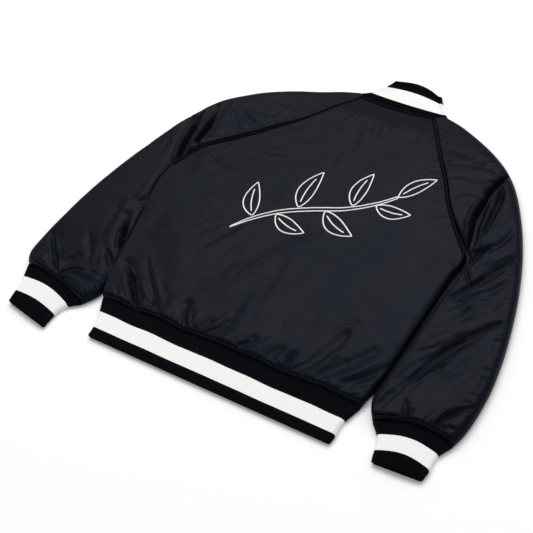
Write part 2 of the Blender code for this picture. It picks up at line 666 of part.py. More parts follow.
def sleeve_back_row(table, side, row, stripes, folds):
    inner_edge, outer_edge, share, down = sleeve_edges(table, side, row)
    sewn = row <= SLEEVE_ARMPIT_ROW
    height = raglan_height(NECK_ROW - row) if sewn else RIM
    top = max(sleeve_top(table, row), height)
    last = len(table) - 1
    fade = ease(row) * mix(SEAM_FOLD, 1.0, ease((last - row) / CUFF_ROUND))

    def rise(x, y):
        return fold_height(folds, x, y) * fade
    return upper_row(inner_edge, outer_edge, height, RIM, share, 0.0, top, SLEEVE_COLUMNS,
                     sleeve_bend(table, row, stripes), rise, tucked(row, last, down))


def sleeve_front_row(table, side, row, stripes):
    inner_edge, outer_edge, share, down = sleeve_edges(table, side, row)
    return lower_row(inner_edge, outer_edge, share, 0.0, UNDER_COLUMNS, sleeve_bend(table, row, stripes),
                     tucked(row, len(table) - 1, down))


def build_sleeve(word, side, stripes, folds, material, collection):
    table = sleeve_table(side)
    upper = [sleeve_back_row(table, side, row, stripes, folds) for row in SLEEVE_ROWS]
    under = [sleeve_front_row(table, side, row, stripes) for row in UNDER_ROWS]
    cloth_solid(f"sleeve_{word}_back", [r[0] for r in upper], [r[1] for r in upper], material, collection)
    cloth_solid(f"sleeve_{word}_front", [r[0] for r in under], [r[1] for r in under], material, collection)


# ---- the ribs ----------------------------------------------------------------------------------
def turn(point, outward, low, high, upwards):
    """Middle points of a rib where it turns over at a side, from one layer to the other."""
    radius = (high - low) / 2
    spots = []
    for angle in TURN_ANGLES if upwards else reversed(TURN_ANGLES):
        spot = point + outward * radius * math.sin(math.radians(angle))
        height = mix(low, high, (1.0 - math.cos(math.radians(angle))) / 2)
        spots.append(at(spot, height))
    return spots


def stripe_ends(stripe):
    """Ends of a stripe line, and the way out at its left end."""
    left = Vector((stripe.left_x, stripe.left_y))
    right = Vector((stripe.right_x, stripe.right_y))
    return left, right, (left - right).normalized()


def over_points(left, right, bow, height, shares):
    """Points of a rib's upper layer from left to right, without its ends."""
    run = right - left
    up = Vector((-run.y, run.x)).normalized()
    spots = [left + run * s + up * bow * math.sin(math.pi * s) for s in shares]
    return [at(spot, height) for spot in spots]


def rib_solid(name, rails, wall, closed, facing, materials, collection):
    """A rib band from the middle lines of its wall, one for each stripe edge, seam first.

    facing holds, for each station along the seam, the way the band leaves it, or None where the next
    middle line tells.
    """
    count = len(rails[0])
    walls = []
    for k, rail in enumerate(rails):
        near = rails[max(k - 1, 0)]
        far = rails[min(k + 1, len(rails) - 1)]
        normals = []
        for i in range(count):
            before = rail[i - 1] if closed or i else rail[i]
            after = rail[(i + 1) % count] if closed or i < count - 1 else rail[i]
            leaving = facing[i] if k == 0 and facing[i] else far[i] - near[i]
            normals.append((after - before).cross(leaving).normalized())
        highest = max(range(count), key=lambda i: rail[i].z + normals[i].z ** 2)
        sign = 1.0 if normals[highest].z > 0 else -1.0
        walls.append([n * sign * wall / 2 for n in normals])
    work = bmesh.new()
    loops = []
    for i in range(count):
        tip = rails[-1][i] + (rails[-1][i] - rails[-2][i]).normalized() * wall * RIB_TIP
        points = [rail[i] + half[i] for rail, half in zip(rails, walls)]
        points.append(tip)
        points += [rail[i] - half[i] for rail, half in reversed(list(zip(rails, walls)))]
        loops.append([work.verts.new(p) for p in points])
    size = len(loops[0])
    slots = []
    pairs = list(zip(loops, loops[1:])) + ([(loops[-1], loops[0])] if closed else [])
    for a, b in pairs:
        for j in range(size):
            k = (j + 1) % size
            work.faces.new((a[j], a[k], b[k], b[j]))
            slots.append(1 if j in (1, size - 3) else 0)
    if not closed:
        half = size // 2
        for loop in (loops[0], loops[-1]):
            for j in range(half - 1):
                work.faces.new((loop[j], loop[j + 1], loop[size - 2 - j], loop[size - 1 - j]))
                slots.append(0)
            work.faces.new((loop[half - 1], loop[half], loop[half + 1]))
            slots.append(0)
    return add_mesh(name, work, materials, collection, slots)


def hem_x_columns():
    """x of the back's own columns at the hem seam, away from its rounded sides."""
    outer, _ = back_row(0.0)
    flat = outer[len(UPPER_ANGLES):-len(UPPER_ANGLES)]
    return [p.x for p in flat]


def build_hem(materials, collection):
    """The hem rib: a flattened ring, open at the centre front, where its two ends butt."""
    low = RIB_WALL / 2
    seam = HEM_STRIPES[0]
    columns = hem_x_columns()
    last = len(HEM_STRIPES) - 1
    rails = []
    for k, stripe in enumerate(HEM_STRIPES):
        high = mix(HEM_TOP - HEM_STEP, RIB_END_TOP, k / last) - RIB_WALL / 2
        inset = (high - low) / 2 + RIB_WALL / 2
        left, right, out = stripe_ends(stripe)
        left -= out * inset
        right += out * inset
        if k == 0:
            left.y -= SIDE_GAP
            right.y -= SIDE_GAP
        centre = mix(left, right, (CENTRE_FRONT - left.x) / (right.x - left.x))
        gap = Vector((SIDE_GAP, 0.0))
        wave = (1.0 - k / last) ** 2
        spots = [at(mix(centre - gap, left, share), low) for share in HEM_UNDER_SHARES]
        spots += turn(left, out, low, high, True) + [at(left, high)]
        for x in columns:
            share = (x - seam.left_x) / (seam.right_x - seam.left_x)
            rise = hem_rise(x) * wave
            y = mix(left.y, right.y, share) + WAVE_SHIFT * rise
            x_here = mix(stripe.left_x, stripe.right_x, share)
            spots.append(Vector((x_here, y, high + WAVE_HEIGHT * RIB_WAVE * rise)))
        spots += [at(right, high)] + turn(right, -out, low, high, False)
        spots += [at(mix(centre + gap, right, share), low) for share in reversed(HEM_UNDER_SHARES)]
        rails.append(spots)
    facing = [Vector((0.0, -1.0, 0.0))] * len(rails[0])
    return rib_solid("hem_rib", rails, RIB_WALL, False, facing, materials, collection)


def front_neck_line(side):
    """Plan points of the collar seam on one front, just clear of it, with their share of the way."""
    _, inner = front_row(float(NECK_ROW), side)
    flat = [Vector((p.x, p.y)) for p in inner if (p.x - CENTRE_FRONT) * side > -1e-6]
    spots = []
    for i, spot in enumerate(flat):
        run = flat[min(i + 1, len(flat) - 1)] - flat[max(i - 1, 0)]
        clear = Vector((-run.y, run.x)).normalized() * -side * SEAM_GAP
        spots.append((spot + clear, i / (len(flat) - 1)))
    return spots


def shoulder_seam(side):
    """The short seam at the top of a sleeve: its direction, and the way the collar leaves it."""
    run = Vector(LEFT_SHOULDER[0] if side < 0 else RIGHT_SHOULDER[0]) - body_edge(NECK_ROW, side)
    along = run.normalized()
    return along, Vector((-along.y, along.x)) * side


def collar_front(side, k, low):
    """Middle points of the collar on one front, from the shoulder to the closure."""
    spots = []
    for spot, share in front_neck_line(side):
        across_shoulder = Vector((-side * FRONT_COLLAR_LEAN, 1.0))
        inward = mix(across_shoulder, Vector((0.0, 1.0)), ease(share)).normalized()
        spot = spot + inward * FRONT_COLLAR_HEIGHT * FRONT_COLLAR_SHARES[k]
        if share == 1.0:
            spot.x = CENTRE_FRONT + side * SIDE_GAP
        spots.append(at(spot, low))
    return spots


def collar_back_seam(high):
    """Middle points of the collar along the back's neck seam."""
    left, right = body_edge(NECK_ROW, -1), body_edge(NECK_ROW, 1)
    spots = []
    for share in NECK_SEAM_SHARES:
        spot = mix(left, right, share)
        dip = NECK_DIP * math.sin(math.pi * share)
        spots.append(Vector((spot.x, spot.y - dip + SIDE_GAP, high)))
    return spots


def build_collar(materials, collection):
    """The stand collar: its back lies above the neck seam, its fronts lie under the back."""
    low = RIB_WALL / 2
    base, tip = COLLAR_STRIPES[0], COLLAR_STRIPES[-1]
    slant_left = Vector((tip.left_x - base.left_x, tip.left_y - base.left_y))
    slant_right = Vector((tip.right_x - base.right_x, tip.right_y - base.right_y))
    along_left, leaving_left = shoulder_seam(-1)
    along_right, leaving_right = shoulder_seam(1)
    last = len(COLLAR_STRIPES) - 1
    rails = []
    for k, stripe in enumerate(COLLAR_STRIPES):
        high = mix(NECK_TOP - COLLAR_STEP, RIB_END_TOP, k / last) - RIB_WALL / 2
        inset = (high - low) / 2 + RIB_WALL / 2
        left, right, _ = stripe_ends(stripe)
        if k == 0:
            out_left, out_right = along_left, along_right
            left += leaving_left * SEAM_GAP
            right += leaving_right * SEAM_GAP
        else:
            out_left = Vector((-slant_left.y, slant_left.x)).normalized()
            out_right = Vector((slant_right.y, -slant_right.x)).normalized()
        left -= out_left * inset
        right -= out_right * inset
        front_left = collar_front(-1, k, low)
        front_right = collar_front(1, k, low)
        spots = list(reversed(front_left)) + [at(left, low)]
        spots += turn(left, out_left, low, high, True) + [at(left, high)]
        if k == 0:
            spots += collar_back_seam(high)
        else:
            spots += over_points(left, right, stripe.bow, high, NECK_SEAM_SHARES)
        spots.append(at(right, high))
        spots += turn(right, out_right, low, high, False) + [at(right, low)]
        spots += front_right
        rails.append(spots)
    turned = len(TURN_ANGLES) + 2
    facing = [None] * len(front_left) + [leaving_left.to_3d()] * turned
    facing += [None] * len(NECK_SEAM_SHARES)
    facing += [leaving_right.to_3d()] * turned + [None] * len(front_right)
    return rib_solid("collar_rib", rails, RIB_WALL, False, facing, materials, collection)


def cuff_stations():
    """Round a pressed tube: share of the way across, and the angle turned from the lower layer."""
    under = [(1.0 - k / UNDER_COLUMNS, 0.0) for k in range(UNDER_COLUMNS + 1)]
    over = [(k / CUFF_COLUMNS, 180.0) for k in range(CUFF_COLUMNS + 1)]
    return (under + [(0.0, angle) for angle in TURN_ANGLES] + over
            + [(1.0, angle) for angle in reversed(TURN_ANGLES)])


def build_cuff(name, stripes, materials, collection):
    """A cuff: a closed tube of rib, pressed nearly flat, higher along its middle."""
    low = CUFF_WALL / 2
    high = CUFF_SIDE - CUFF_WALL / 2
    radius = (high - low) / 2
    inset = radius + CUFF_WALL / 2
    rails = []
    facing = []
    for k, stripe in enumerate(stripes):
        left, right, out = stripe_ends(stripe)
        width = (right - left).length
        up = Vector((out.y, -out.x))
        gap = SIDE_GAP if k == 0 else 0.0

        def place(distance):
            s = distance / width
            return mix(left, right, s) + up * (stripe.bow * math.sin(math.pi * s) - gap)

        rail = []
        for share, angle in cuff_stations():
            bulge = radius * math.sin(math.radians(angle)) * (1.0 if share else -1.0)
            distance = mix(inset, width - inset, share) + bulge
            spot = place(distance)
            height = mix(low, high, (1.0 - math.cos(math.radians(angle))) / 2)
            if angle == 180.0:
                height += CUFF_ARCH * math.sin(math.pi * share)
            rail.append(at(spot, height))
            if k == 0:
                along = place(distance + SEAM_GAP) - place(distance - SEAM_GAP)
                facing.append(Vector((along.y, -along.x, 0.0)).normalized())
        rails.append(rail)
    return rib_solid(name, rails, CUFF_WALL, True, facing, materials, collection)


# ---- the snaps ---------------------------------------------------------------------------------
def build_snaps(material, collection):
    """Caps of the snap fasteners, outside the left placket: the side that faces the surface."""
    for k in range(SNAP_COUNT):
        work = bmesh.new()
        bmesh.ops.create_cone(work, cap_ends=True, segments=20, radius1=SNAP_FACE * SNAP_RADIUS,
                              radius2=SNAP_RADIUS, depth=SNAP_THICK)
        y = mix(SNAP_FIRST_Y, SNAP_LAST_Y, k / (SNAP_COUNT - 1))
        place = Matrix.Translation((CENTRE_FRONT, y, SEAM_GAP + SNAP_THICK / 2))
        bmesh.ops.transform(work, matrix=place, verts=work.verts)
        add_mesh(f"snap_{k + 1}", work, [material], collection)


def centre_on_origin(collection):
    """Put the origin under the middle of the jacket's box."""
    points = [v.co for thing in collection.objects for v in thing.data.vertices]
    middle_x = (min(p.x for p in points) + max(p.x for p in points)) / 2
    middle_y = (min(p.y for p in points) + max(p.y for p in points)) / 2
    for thing in collection.objects:
        thing.data.transform(Matrix.Translation((-middle_x, -middle_y, 0.0)))


def build():
    clear_scene()
    jacket = bpy.data.collections.new("varsity_jacket")
    bpy.context.scene.collection.children.link(jacket)
    satin = make_material("black_satin", (0.016, 0.018, 0.024), 0.42)
    black_rib = make_material("black_rib_knit", (0.008, 0.009, 0.012), 0.85)
    white_rib = make_material("white_rib_knit", (0.86, 0.85, 0.83), 0.85)
    metal = make_material("snap_metal", (0.03, 0.03, 0.035), 0.35)
    ribs = [black_rib, white_rib]

    build_back(satin, jacket)
    build_front("front_left_panel", -1, satin, jacket)
    build_front("front_right_panel", 1, satin, jacket)
    build_sleeve("left", -1, LEFT_CUFF_STRIPES, LEFT_SLEEVE_FOLDS, satin, jacket)
    build_sleeve("right", 1, RIGHT_CUFF_STRIPES, RIGHT_SLEEVE_FOLDS, satin, jacket)
    build_hem(ribs, jacket)
    build_collar(ribs, jacket)
    build_cuff("cuff_left", LEFT_CUFF_STRIPES, ribs, jacket)
    build_cuff("cuff_right", RIGHT_CUFF_STRIPES, ribs, jacket)
    build_snaps(metal, jacket)
    centre_on_origin(jacket)


build()
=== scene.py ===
"""Looks of a varsity jacket that lies flat on its front, with its back up.

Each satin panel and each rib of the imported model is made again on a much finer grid, from the same
outlines and folds, with the small gathers, puckers, welts, stitches and knitted ribs that the solids
leave out. Lengths are in metres, and those of the tables inside metres(...) are written in millimetres.
All are in the jacket's own plan: x 0 near its middle, y 0 near its hem.
"""
import math

import bpy
import numpy as np
from mathutils import Matrix, Vector
from mathutils.bvhtree import BVHTree


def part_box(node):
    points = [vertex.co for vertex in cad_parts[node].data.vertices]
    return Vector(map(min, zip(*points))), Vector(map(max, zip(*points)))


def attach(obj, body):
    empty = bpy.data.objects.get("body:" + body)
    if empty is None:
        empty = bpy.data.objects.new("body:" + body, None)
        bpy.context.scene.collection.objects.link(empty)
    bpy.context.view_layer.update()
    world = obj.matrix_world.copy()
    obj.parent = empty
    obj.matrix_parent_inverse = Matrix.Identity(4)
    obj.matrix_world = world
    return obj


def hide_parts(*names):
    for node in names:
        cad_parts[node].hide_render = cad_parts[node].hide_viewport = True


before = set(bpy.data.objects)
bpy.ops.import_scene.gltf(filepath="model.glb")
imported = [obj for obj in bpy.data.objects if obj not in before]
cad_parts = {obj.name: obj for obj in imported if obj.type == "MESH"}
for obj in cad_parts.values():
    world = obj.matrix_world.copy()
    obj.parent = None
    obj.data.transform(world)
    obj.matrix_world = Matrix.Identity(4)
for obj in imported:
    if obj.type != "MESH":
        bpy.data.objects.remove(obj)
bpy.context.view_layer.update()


def metres(rows):
    """A table in millimetres, in metres."""
    return np.array(rows, float) / 1000


# ---- sizes of the cut, the same as the solids' ---------------------------------------------------
SEAM_GAP = 0.00005          # the solids' is 0.3 mm, cloth that is sewn together touches
SIDE_GAP = SEAM_GAP / 2
LOWER_WALL = 0.0065
UPPER_WALL = 0.0080
AIR = 0.0012                # the solids' is 3.5 mm, but these deepest folds go further down
RIM = LOWER_WALL + SEAM_GAP
EDGE_WALL = 0.0050
LEAST_WALL = 0.0022
BODY_TOP = 0.0200
SLEEVE_TOP = 0.0235
RAGLAN_TOP = 0.0174         # the solids' is 1.9 mm lower, because their walls need the room
NECK_TOP = 0.0125
HEM_TOP = 0.0135
CUFF_TOP = 0.0160
END_TUCK = 0.0025
RIB_WALL = 0.0045
RIB_END_TOP = 0.0105
HEM_STEP = 0.0015
COLLAR_STEP = 0.0008
CUFF_WALL = 0.0050
CUFF_SIDE = 0.0125
CUFF_ARCH = 0.0014
LOWER_ROLL = CUFF_SIDE / 2
CENTRE_FRONT = -0.005
PLACKET_LAP = 0.014
PLACKET_WALL = 0.0021
PLACKET_EDGE = 0.0012
PLACKET_STEP = 0.0048
SNAP_THICK = 0.0013
SNAP_FIRST_Y = 0.118
ARMPIT_RISE = 2.4
RAGLAN_FALL = 3.0
HEM_ROUND = 0.34
NECK_ROUND = 2.0
SHOULDER_RISE = 5.0
CUFF_ROUND = 0.5
WAVE_REACH = 1.1
DIP_REACH = 6.5
CUFF_REACH = 2.0
SEAM_FOLD = 0.4
WIDEST_ROLL = 0.36

# Body outline from the hem seam (row 0) by the armpits (row 6) to the neck (row 15):
# left_x, left_y, right_x, right_y.
BODY = metres([
    (-301, 83, 286.5, 83), (-318, 130, 290, 130), (-331, 190, 292, 190), (-346, 260, 292, 260),
    (-363, 320, 295, 320), (-372, 370, 299, 370), (-366, 418, 303, 418), (-349, 455, 271, 455),
    (-320, 490, 240, 490), (-281, 520, 215, 520), (-243, 550, 195, 550), (-210, 580, 173, 580),
    (-178, 610, 149, 610), (-141, 652, 119.5, 650), (-115, 684, 97.5, 680), (-94, 710.5, 78.5, 704.5)])
ARMPIT_ROW = 6
NECK_ROW = 15
SLEEVE_ARMPIT_ROW = NECK_ROW - ARMPIT_ROW
SLEEVE_LAST = 16
# Outer edge of each sleeve from the neck to the armpit: x, y.
SHOULDER = {
    -1: metres([
        (-103, 718), (-140, 710.5), (-185, 695), (-231, 680), (-275, 662), (-315, 642), (-350, 620),
        (-380, 596), (-409, 555), (-436, 502)]),
    1: metres([
        (100, 713.5), (137, 703), (179, 685), (224, 662), (261, 638), (293, 611), (321, 578), (346, 541),
        (371, 499), (396, 449)])}
# Both edges of each sleeve below the armpit: inner_x, inner_y, outer_x, outer_y.
ARM = {
    -1: metres([
        (-376, 370, -461, 437), (-367, 320, -483, 372), (-350, 260, -502, 300), (-335, 190, -515, 220),
        (-322, 132, -521, 152), (-313, 90, -521, 112), (-334, 56, -508, 88)]),
    1: metres([
        (304, 370, 420, 390), (300, 320, 440, 328), (296.5, 260, 457, 262), (296.5, 190, 468, 196),
        (295, 132, 470, 140), (298, 98, 467, 105), (318, 67, 461, 82)])}
# Edges between knitted stripes, from the seam outwards: left_x, left_y, right_x, right_y, bow.
HEM_STRIPES = metres([
    (-301, 83, 286.5, 83, 0), (-286, 53.5, 275, 48, 0), (-275, 20, 274.5, 18, 0), (-273, 3, 273, 3, 0)])
COLLAR_STRIPES = metres([
    (-103, 718, 100, 713.5, 0), (-84, 728.5, 94.5, 720, -2), (-61.5, 753.5, 72, 744.5, 6),
    (-52, 773, 61.5, 761, 10.5)])
CUFF_STRIPES = {
    -1: metres([
        (-508, 88, -334, 56, 6), (-496.5, 57.5, -358.5, 39.5, 9), (-489, 24, -372.5, 11.5, 5),
        (-485, 1, -375, -18, 0)]),
    1: metres([
        (318, 67, 461, 82, 12), (339, 46.5, 448, 56.5, 10.5), (349.5, 19.5, 447.5, 27.5, 9.5),
        (355, 3.5, 445.5, 9.5, 0)])}
NECK_DIP = 0.005
FRONT_NECK = {-1: metres([(-87, 681), (-72, 654), (-50, 632)]), 1: metres([(73, 677), (61, 652), (42, 632)])}
FRONT_NECK_Y = 0.622
FRONT_COLLAR_HEIGHT = 0.064
FRONT_COLLAR_SHARES = [0.0, 0.30, 0.80, 1.0]
FRONT_COLLAR_LEAN = 1.07
NECK_FLAT = 0.024
# The hem seam rises and falls: x, rise from -1 to 1.
HEM_WAVE = np.array([(-0.301, -0.2), (-0.270, 0.9), (-0.218, -1.0), (-0.165, 1.0), (-0.103, -1.0),
                     (-0.058, -0.2), (-0.020, 0.8), (0.030, 0.2), (0.075, 0.5), (0.123, -1.0),
                     (0.170, 0.0), (0.223, 0.9), (0.260, -0.3), (0.2865, -0.6)])
WAVE_HEIGHT = 0.0022
WAVE_SHIFT = 0.0015
WAVE_FADE = 0.12
RIB_WAVE = 0.8

# Folds: x0, y0, x1, y1, half width, height (a trough is below 0).
BACK_FOLDS = metres([
    (-300, 166, -262, 134, 9, -4), (-262, 134, -217, 88, 9, -5.5), (-283, 150, -236, 90, 10, 1.8),
    (-238, 138, -186, 88, 11, 2.2), (-205, 128, -180, 88, 9, -2.2), (-150, 128, -146, 88, 10, 1.6),
    (-125, 132, -100, 86, 9, -3), (-90, 118, -84, 86, 9, 1.8), (-58, 116, -74, 84, 9, -2.4),
    (-34, 138, -60, 84, 9, 1.8), (-20, 128, -44, 84, 9, -2.2), (8, 120, -10, 84, 10, 1.8),
    (40, 116, 20, 83, 9, -2.8), (70, 122, 52, 84, 10, 1.8), (98, 116, 80, 85, 9, -2.8),
    (115, 124, 106, 84, 9, 1.4), (126, 118, 128, 80, 9, -2.6), (190, 190, 154, 84, 9, -2.6),
    (198, 150, 176, 86, 9, 2), (257, 180, 196, 100, 10, -2.6), (268, 160, 226, 96, 10, 2),
    (292, 160, 248, 104, 10, -2.4), (-18, 360, -133, 187, 22, -1.6), (20, 330, -60, 190, 24, 1.2),
    (-11, 281, -38, 130, 18, -1.6), (100, 281, 72, 160, 20, -1.4), (-280, 300, -190, 200, 26, 1.2),
    (230, 300, 180, 210, 24, 1.2), (-330, 470, -300, 430, 16, 1.6), (262, 430, 235, 380, 18, -1.4)])
SLEEVE_FOLDS = {
    -1: metres([
        (-372, 574, -356, 492, 11, -8.5), (-402, 528, -370, 440, 11, -10), (-398, 552, -382, 500, 11, -4),
        (-388, 560, -362, 470, 11, 1.8), (-346, 590, -326, 520, 12, 2), (-420, 500, -396, 420, 16, 2.2),
        (-376, 262, -340, 186, 11, -7), (-364, 330, -366, 290, 11, -5), (-395, 290, -372, 200, 14, 1.6),
        (-493, 162, -448, 116, 11, -4.5), (-448, 116, -428, 82, 11, -5), (-416, 86, -409, 136, 11, -3.5),
        (-412, 90, -385, 109, 11, 2.8), (-385, 109, -330, 117, 11, 2.8), (-405, 80, -352, 98, 11, -2.4),
        (-413, 190, -385, 140, 11, -1.8), (-352, 166, -320, 132, 11, -3), (-478, 104, -470, 140, 11, 1.8)]),
    1: metres([
        (282, 612, 277, 561, 11, -9), (277, 561, 280, 505, 11, -10.5), (280, 505, 296, 450, 11, -8.5),
        (303, 556, 302, 495, 11, -4), (302, 495, 310, 445, 11, -3), (293, 585, 290, 505, 11, 2),
        (320, 560, 320, 470, 12, 1.8), (252, 600, 258, 520, 16, 1.6), (357, 498, 337, 447, 11, -2),
        (388, 450, 355, 412, 11, -4.5), (355, 412, 328, 356, 11, -4.5), (352, 390, 330, 345, 11, 2),
        (360, 374, 320, 324, 11, -4.5), (401, 379, 331, 312, 11, -2.2), (422, 365, 370, 310, 11, -2.2),
        (370, 310, 308, 205, 11, -2.8), (427, 312, 379, 259, 11, -3.5), (379, 259, 322, 145, 11, -4.5),
        (400, 270, 345, 175, 12, 1.8), (345, 254, 310, 192, 11, 1.8), (427, 240, 324, 92, 11, -2.2),
        (342, 180, 316, 110, 11, 2.2), (356, 112, 372, 88, 11, -3), (451, 145, 421, 96, 11, -4),
        (421, 90, 456, 101, 11, -3), (398, 124, 392, 94, 11, 1.6)])}

# Small creases: x0, y0, x1, y1, how far it bows, half width, depth. Each is a trough with a low ridge
# beside it, and a depth below 0 is a ridge.
BACK_CREASES = metres([
    (-296, 159, -214, 83, 4.4, 3.2, 5), (-262, 183, -171, 101, -3.6, 6.1, 1.8),
    (-229, 117, -164, 95, -3.3, 6.1, 1.8), (-283, 107, -267, 80, 6, 3, 0.9),
    (-259, 104, -219, 80, -0.1, 3, 1.6), (-121, 118, -98, 87, -0.6, 3.5, 2.2),
    (-109, 121, -91, 92, -0.2, 3, -1.3), (-85, 98, -64, 87, -0.1, 3.5, 1.4),
    (-68, 90, -51, 117, 1.3, 3, 1.4), (-57, 85, -26, 117, 1.3, 3, 1.5), (-45, 85, -12, 108, 2.1, 3, 1),
    (-12, 90, 8, 81, 1, 3, 2), (22, 81, 40, 109, 4.8, 3.8, 2.6), (35, 87, 50, 111, 0.5, 3, 1.6),
    (102, 97, 127, 83, -1, 3, 2.2), (127, 77, 128, 110, 1.4, 3, 2.8), (134, 77, 145, 104, 2.8, 3.5, -1.5),
    (158, 84, 172, 111, 2, 3, 1.8), (0, 166, -1, 280, 3, 10.6, 0.9), (0, 134, -9, 252, 2.6, 9.1, -0.7),
    (-102, 218, -102, 308, 1.9, 7.6, 0.6), (-125, 239, -103, 316, 4, 4.6, 0.5),
    (-119, 84, -101, 81, -0.7, 3, 1.2), (-34, 204, -23, 140, 2.4, 7.6, 0.6),
    (-172, 132, -206, 155, 2.2, 6.1, 0.6), (122, 98, 130, 116, 2, 3, 2.2), (139, 81, 153, 108, 1.7, 3, 2),
    (159, 83, 175, 107, 1.3, 3, 1.8), (174, 86, 183, 119, 0.5, 3, 1.2), (171, 116, 197, 198, -5, 5.3, 1),
    (174, 124, 204, 175, 1.4, 3.8, 0.8), (179, 210, 206, 217, 6.7, 4.6, 1),
    (164, 161, 180, 225, 3.8, 6.1, 0.6), (204, 88, 297, 171, -12, 5.3, 1.4),
    (223, 90, 292, 122, -7, 4.6, 1), (245, 82, 288, 109, -5, 3.8, 0.8),
    (212, 102, 280, 150, -2.5, 4.6, -0.8), (279, 205, 302, 185, 0.4, 3.8, 1.4),
    (213, 145, 233, 134, 2.4, 4.6, 0.7), (190, 300, 163, 195, -7.7, 12.2, 0.8),
    (222, 293, 220, 204, 2.8, 10.6, -0.6), (121, 162, 116, 214, -1.7, 7.6, 0.7),
    (34, 312, 60, 335, 2.5, 3.8, 0.6), (-311, 467, -227, 445, -4.8, 4.6, 0.9),
    (-241, 527, -147, 516, -12.9, 4.6, 0.9), (-266, 489, -196, 485, -5, 4.6, 0.7),
    (-209, 523, -171, 527, -2.1, 3, 0.7), (-181, 242, -124, 334, 6.5, 6.8, 0.7),
    (-141, 232, -111, 326, 0.3, 6.1, 0.7), (-215, 273, -155, 331, 3.4, 6.1, 0.5),
    (-39, 658, -8, 584, 2.5, 4.6, 0.8), (-20, 674, -3, 620, 1.4, 3.8, 0.8), (0, 676, 14, 643, 0.8, 3, 0.7),
    (20, 673, 52, 670, -2.5, 3, 0.6), (68, 677, 78, 637, 0.5, 4.6, 1), (84, 671, 111, 634, 1.3, 3, 0.7),
    (129, 605, 146, 607, -2.4, 3.5, 0.9), (143, 574, 164, 577, 1.8, 3.5, 0.7),
    (165, 542, 184, 549, -2, 3.5, 0.8), (186, 511, 204, 518, 0.8, 3.5, 0.7),
    (209, 482, 228, 489, 1.9, 3.5, 0.8), (26, 443, 73, 457, -0.1, 3.8, 0.5),
    (112, 429, 167, 458, 4.8, 5.3, 0.5), (-57, 562, -42, 508, 2.3, 6.1, 0.6),
    (306, 386, 282, 412, 0.9, 3.8, 1.2), (-73, 632, -25, 555, 13.3, 6.8, 0.6)])
SLEEVE_CREASES = {
    -1: metres([
        (-499, 163, -422, 88, -1.3, 3.8, 4.6), (-421, 107, -414, 134, 1.9, 6, 2),
        (-418, 82, -371, 113, 10.2, 3.2, 4), (-371, 113, -320, 113, 3.1, 4, 1.8),
        (-416, 83, -353, 85, 6.5, 4, -1.2), (-354, 168, -315, 109, 9.4, 6, 2.4),
        (-362, 243, -338, 187, 3, 4, 0.6), (-345, 82, -327, 59, 0.7, 2.6, 1.2),
        (-335, 86, -317, 63, 1, 2.6, 1.2), (-329, 95, -312, 71, 1.2, 2.6, 1.2),
        (-324, 101, -310, 81, 1.6, 2.6, 1), (-392, 159, -378, 137, 2, 5, 1.2),
        (-482, 124, -443, 90, 0.3, 5, 1), (-494, 95, -453, 91, 0.8, 5, 0.9),
        (-418, 131, -409, 104, 6.3, 5, 0.9), (-359, 412, -391, 542, 2.4, 5.2, 10.5),
        (-356, 479, -362, 557, -3.9, 4.8, 9.5), (-341, 465, -361, 591, 1.8, 3.5, -2.2),
        (-407, 435, -418, 468, 0, 6, 1), (-413, 533, -379, 494, 9.2, 5, 1.2),
        (-381, 290, -358, 330, -4.7, 7, 2), (-366, 248, -334, 184, 0.8, 3.8, 9),
        (-358, 173, -322, 145, -0.6, 6, 1.6), (-415, 288, -398, 216, 6.5, 9, 0.9),
        (-393, 363, -381, 273, -5.5, 10, 0.7), (-352, 586, -282, 527, 5.6, 6, 1.2),
        (-307, 583, -243, 559, -7.4, 6, 1.2), (-290, 604, -234, 597, -5.6, 8, 0.8),
        (-342, 497, -305, 519, -10.5, 5, 0.8), (-341, 485, -290, 510, -3.6, 4, 0.7),
        (-424, 192, -385, 153, 0.8, 7, 0.9)]),
    1: metres([
        (324, 331, 385, 440, 0.8, 4.4, 5), (335, 340, 355, 386, -1.4, 4, 1.4),
        (332, 310, 407, 403, 0.5, 6, 1.6), (362, 302, 392, 378, 4.7, 6, 1.2),
        (338, 444, 353, 508, -5.4, 5, 2.6), (347, 391, 376, 451, 5, 5, -1.2),
        (342, 156, 424, 311, 11.3, 4.6, 4.2), (357, 197, 392, 264, 4.7, 4, 1.2),
        (312, 184, 344, 224, 2.5, 5, 1), (318, 87, 351, 178, 4.1, 5, 1.4), (326, 95, 357, 197, 1.9, 4, 1.1),
        (332, 106, 391, 208, 6.6, 6, 1.6), (356, 115, 373, 81, 2.4, 4, 2.2),
        (357, 96, 376, 88, 0.5, 3, 1.4), (371, 97, 379, 108, 1.8, 3, 1), (423, 91, 462, 149, 8.7, 3.8, 4.2),
        (426, 88, 454, 103, 4.2, 4, 2), (467, 71, 481, 147, 1.7, 7, 1.2), (410, 157, 448, 229, 6.2, 7, 0.9),
        (381, 143, 412, 221, -5.1, 8, 0.9), (469, 162, 467, 227, -0.5, 6, 0.8),
        (152, 635, 269, 606, 8.2, 7, 0.9), (180, 605, 257, 611, 4.5, 5, 0.8),
        (199, 577, 275, 583, 2.5, 6, 0.9), (224, 543, 270, 547, 4.8, 5, 0.7),
        (257, 488, 278, 500, 2.4, 4, 0.9), (271, 469, 284, 482, 1.2, 4, 0.9),
        (292, 589, 309, 467, 2.2, 5, 4.5), (285, 616, 277, 545, -3, 4.8, 10),
        (277, 552, 297, 450, -5, 5.2, 11), (291, 480, 305, 408, 0, 6, 11), (319, 400, 327, 440, 0, 4, 4),
        (314, 424, 336, 455, 0, 3.6, 4.5), (316, 392, 338, 366, 1, 3, 3), (297, 528, 304, 477, 3.6, 5, 1.4),
        (331, 557, 336, 477, 7, 7, 1), (169, 682, 243, 636, 2.4, 6, 0.7), (134, 642, 168, 601, 0.7, 4, 0.6)])}

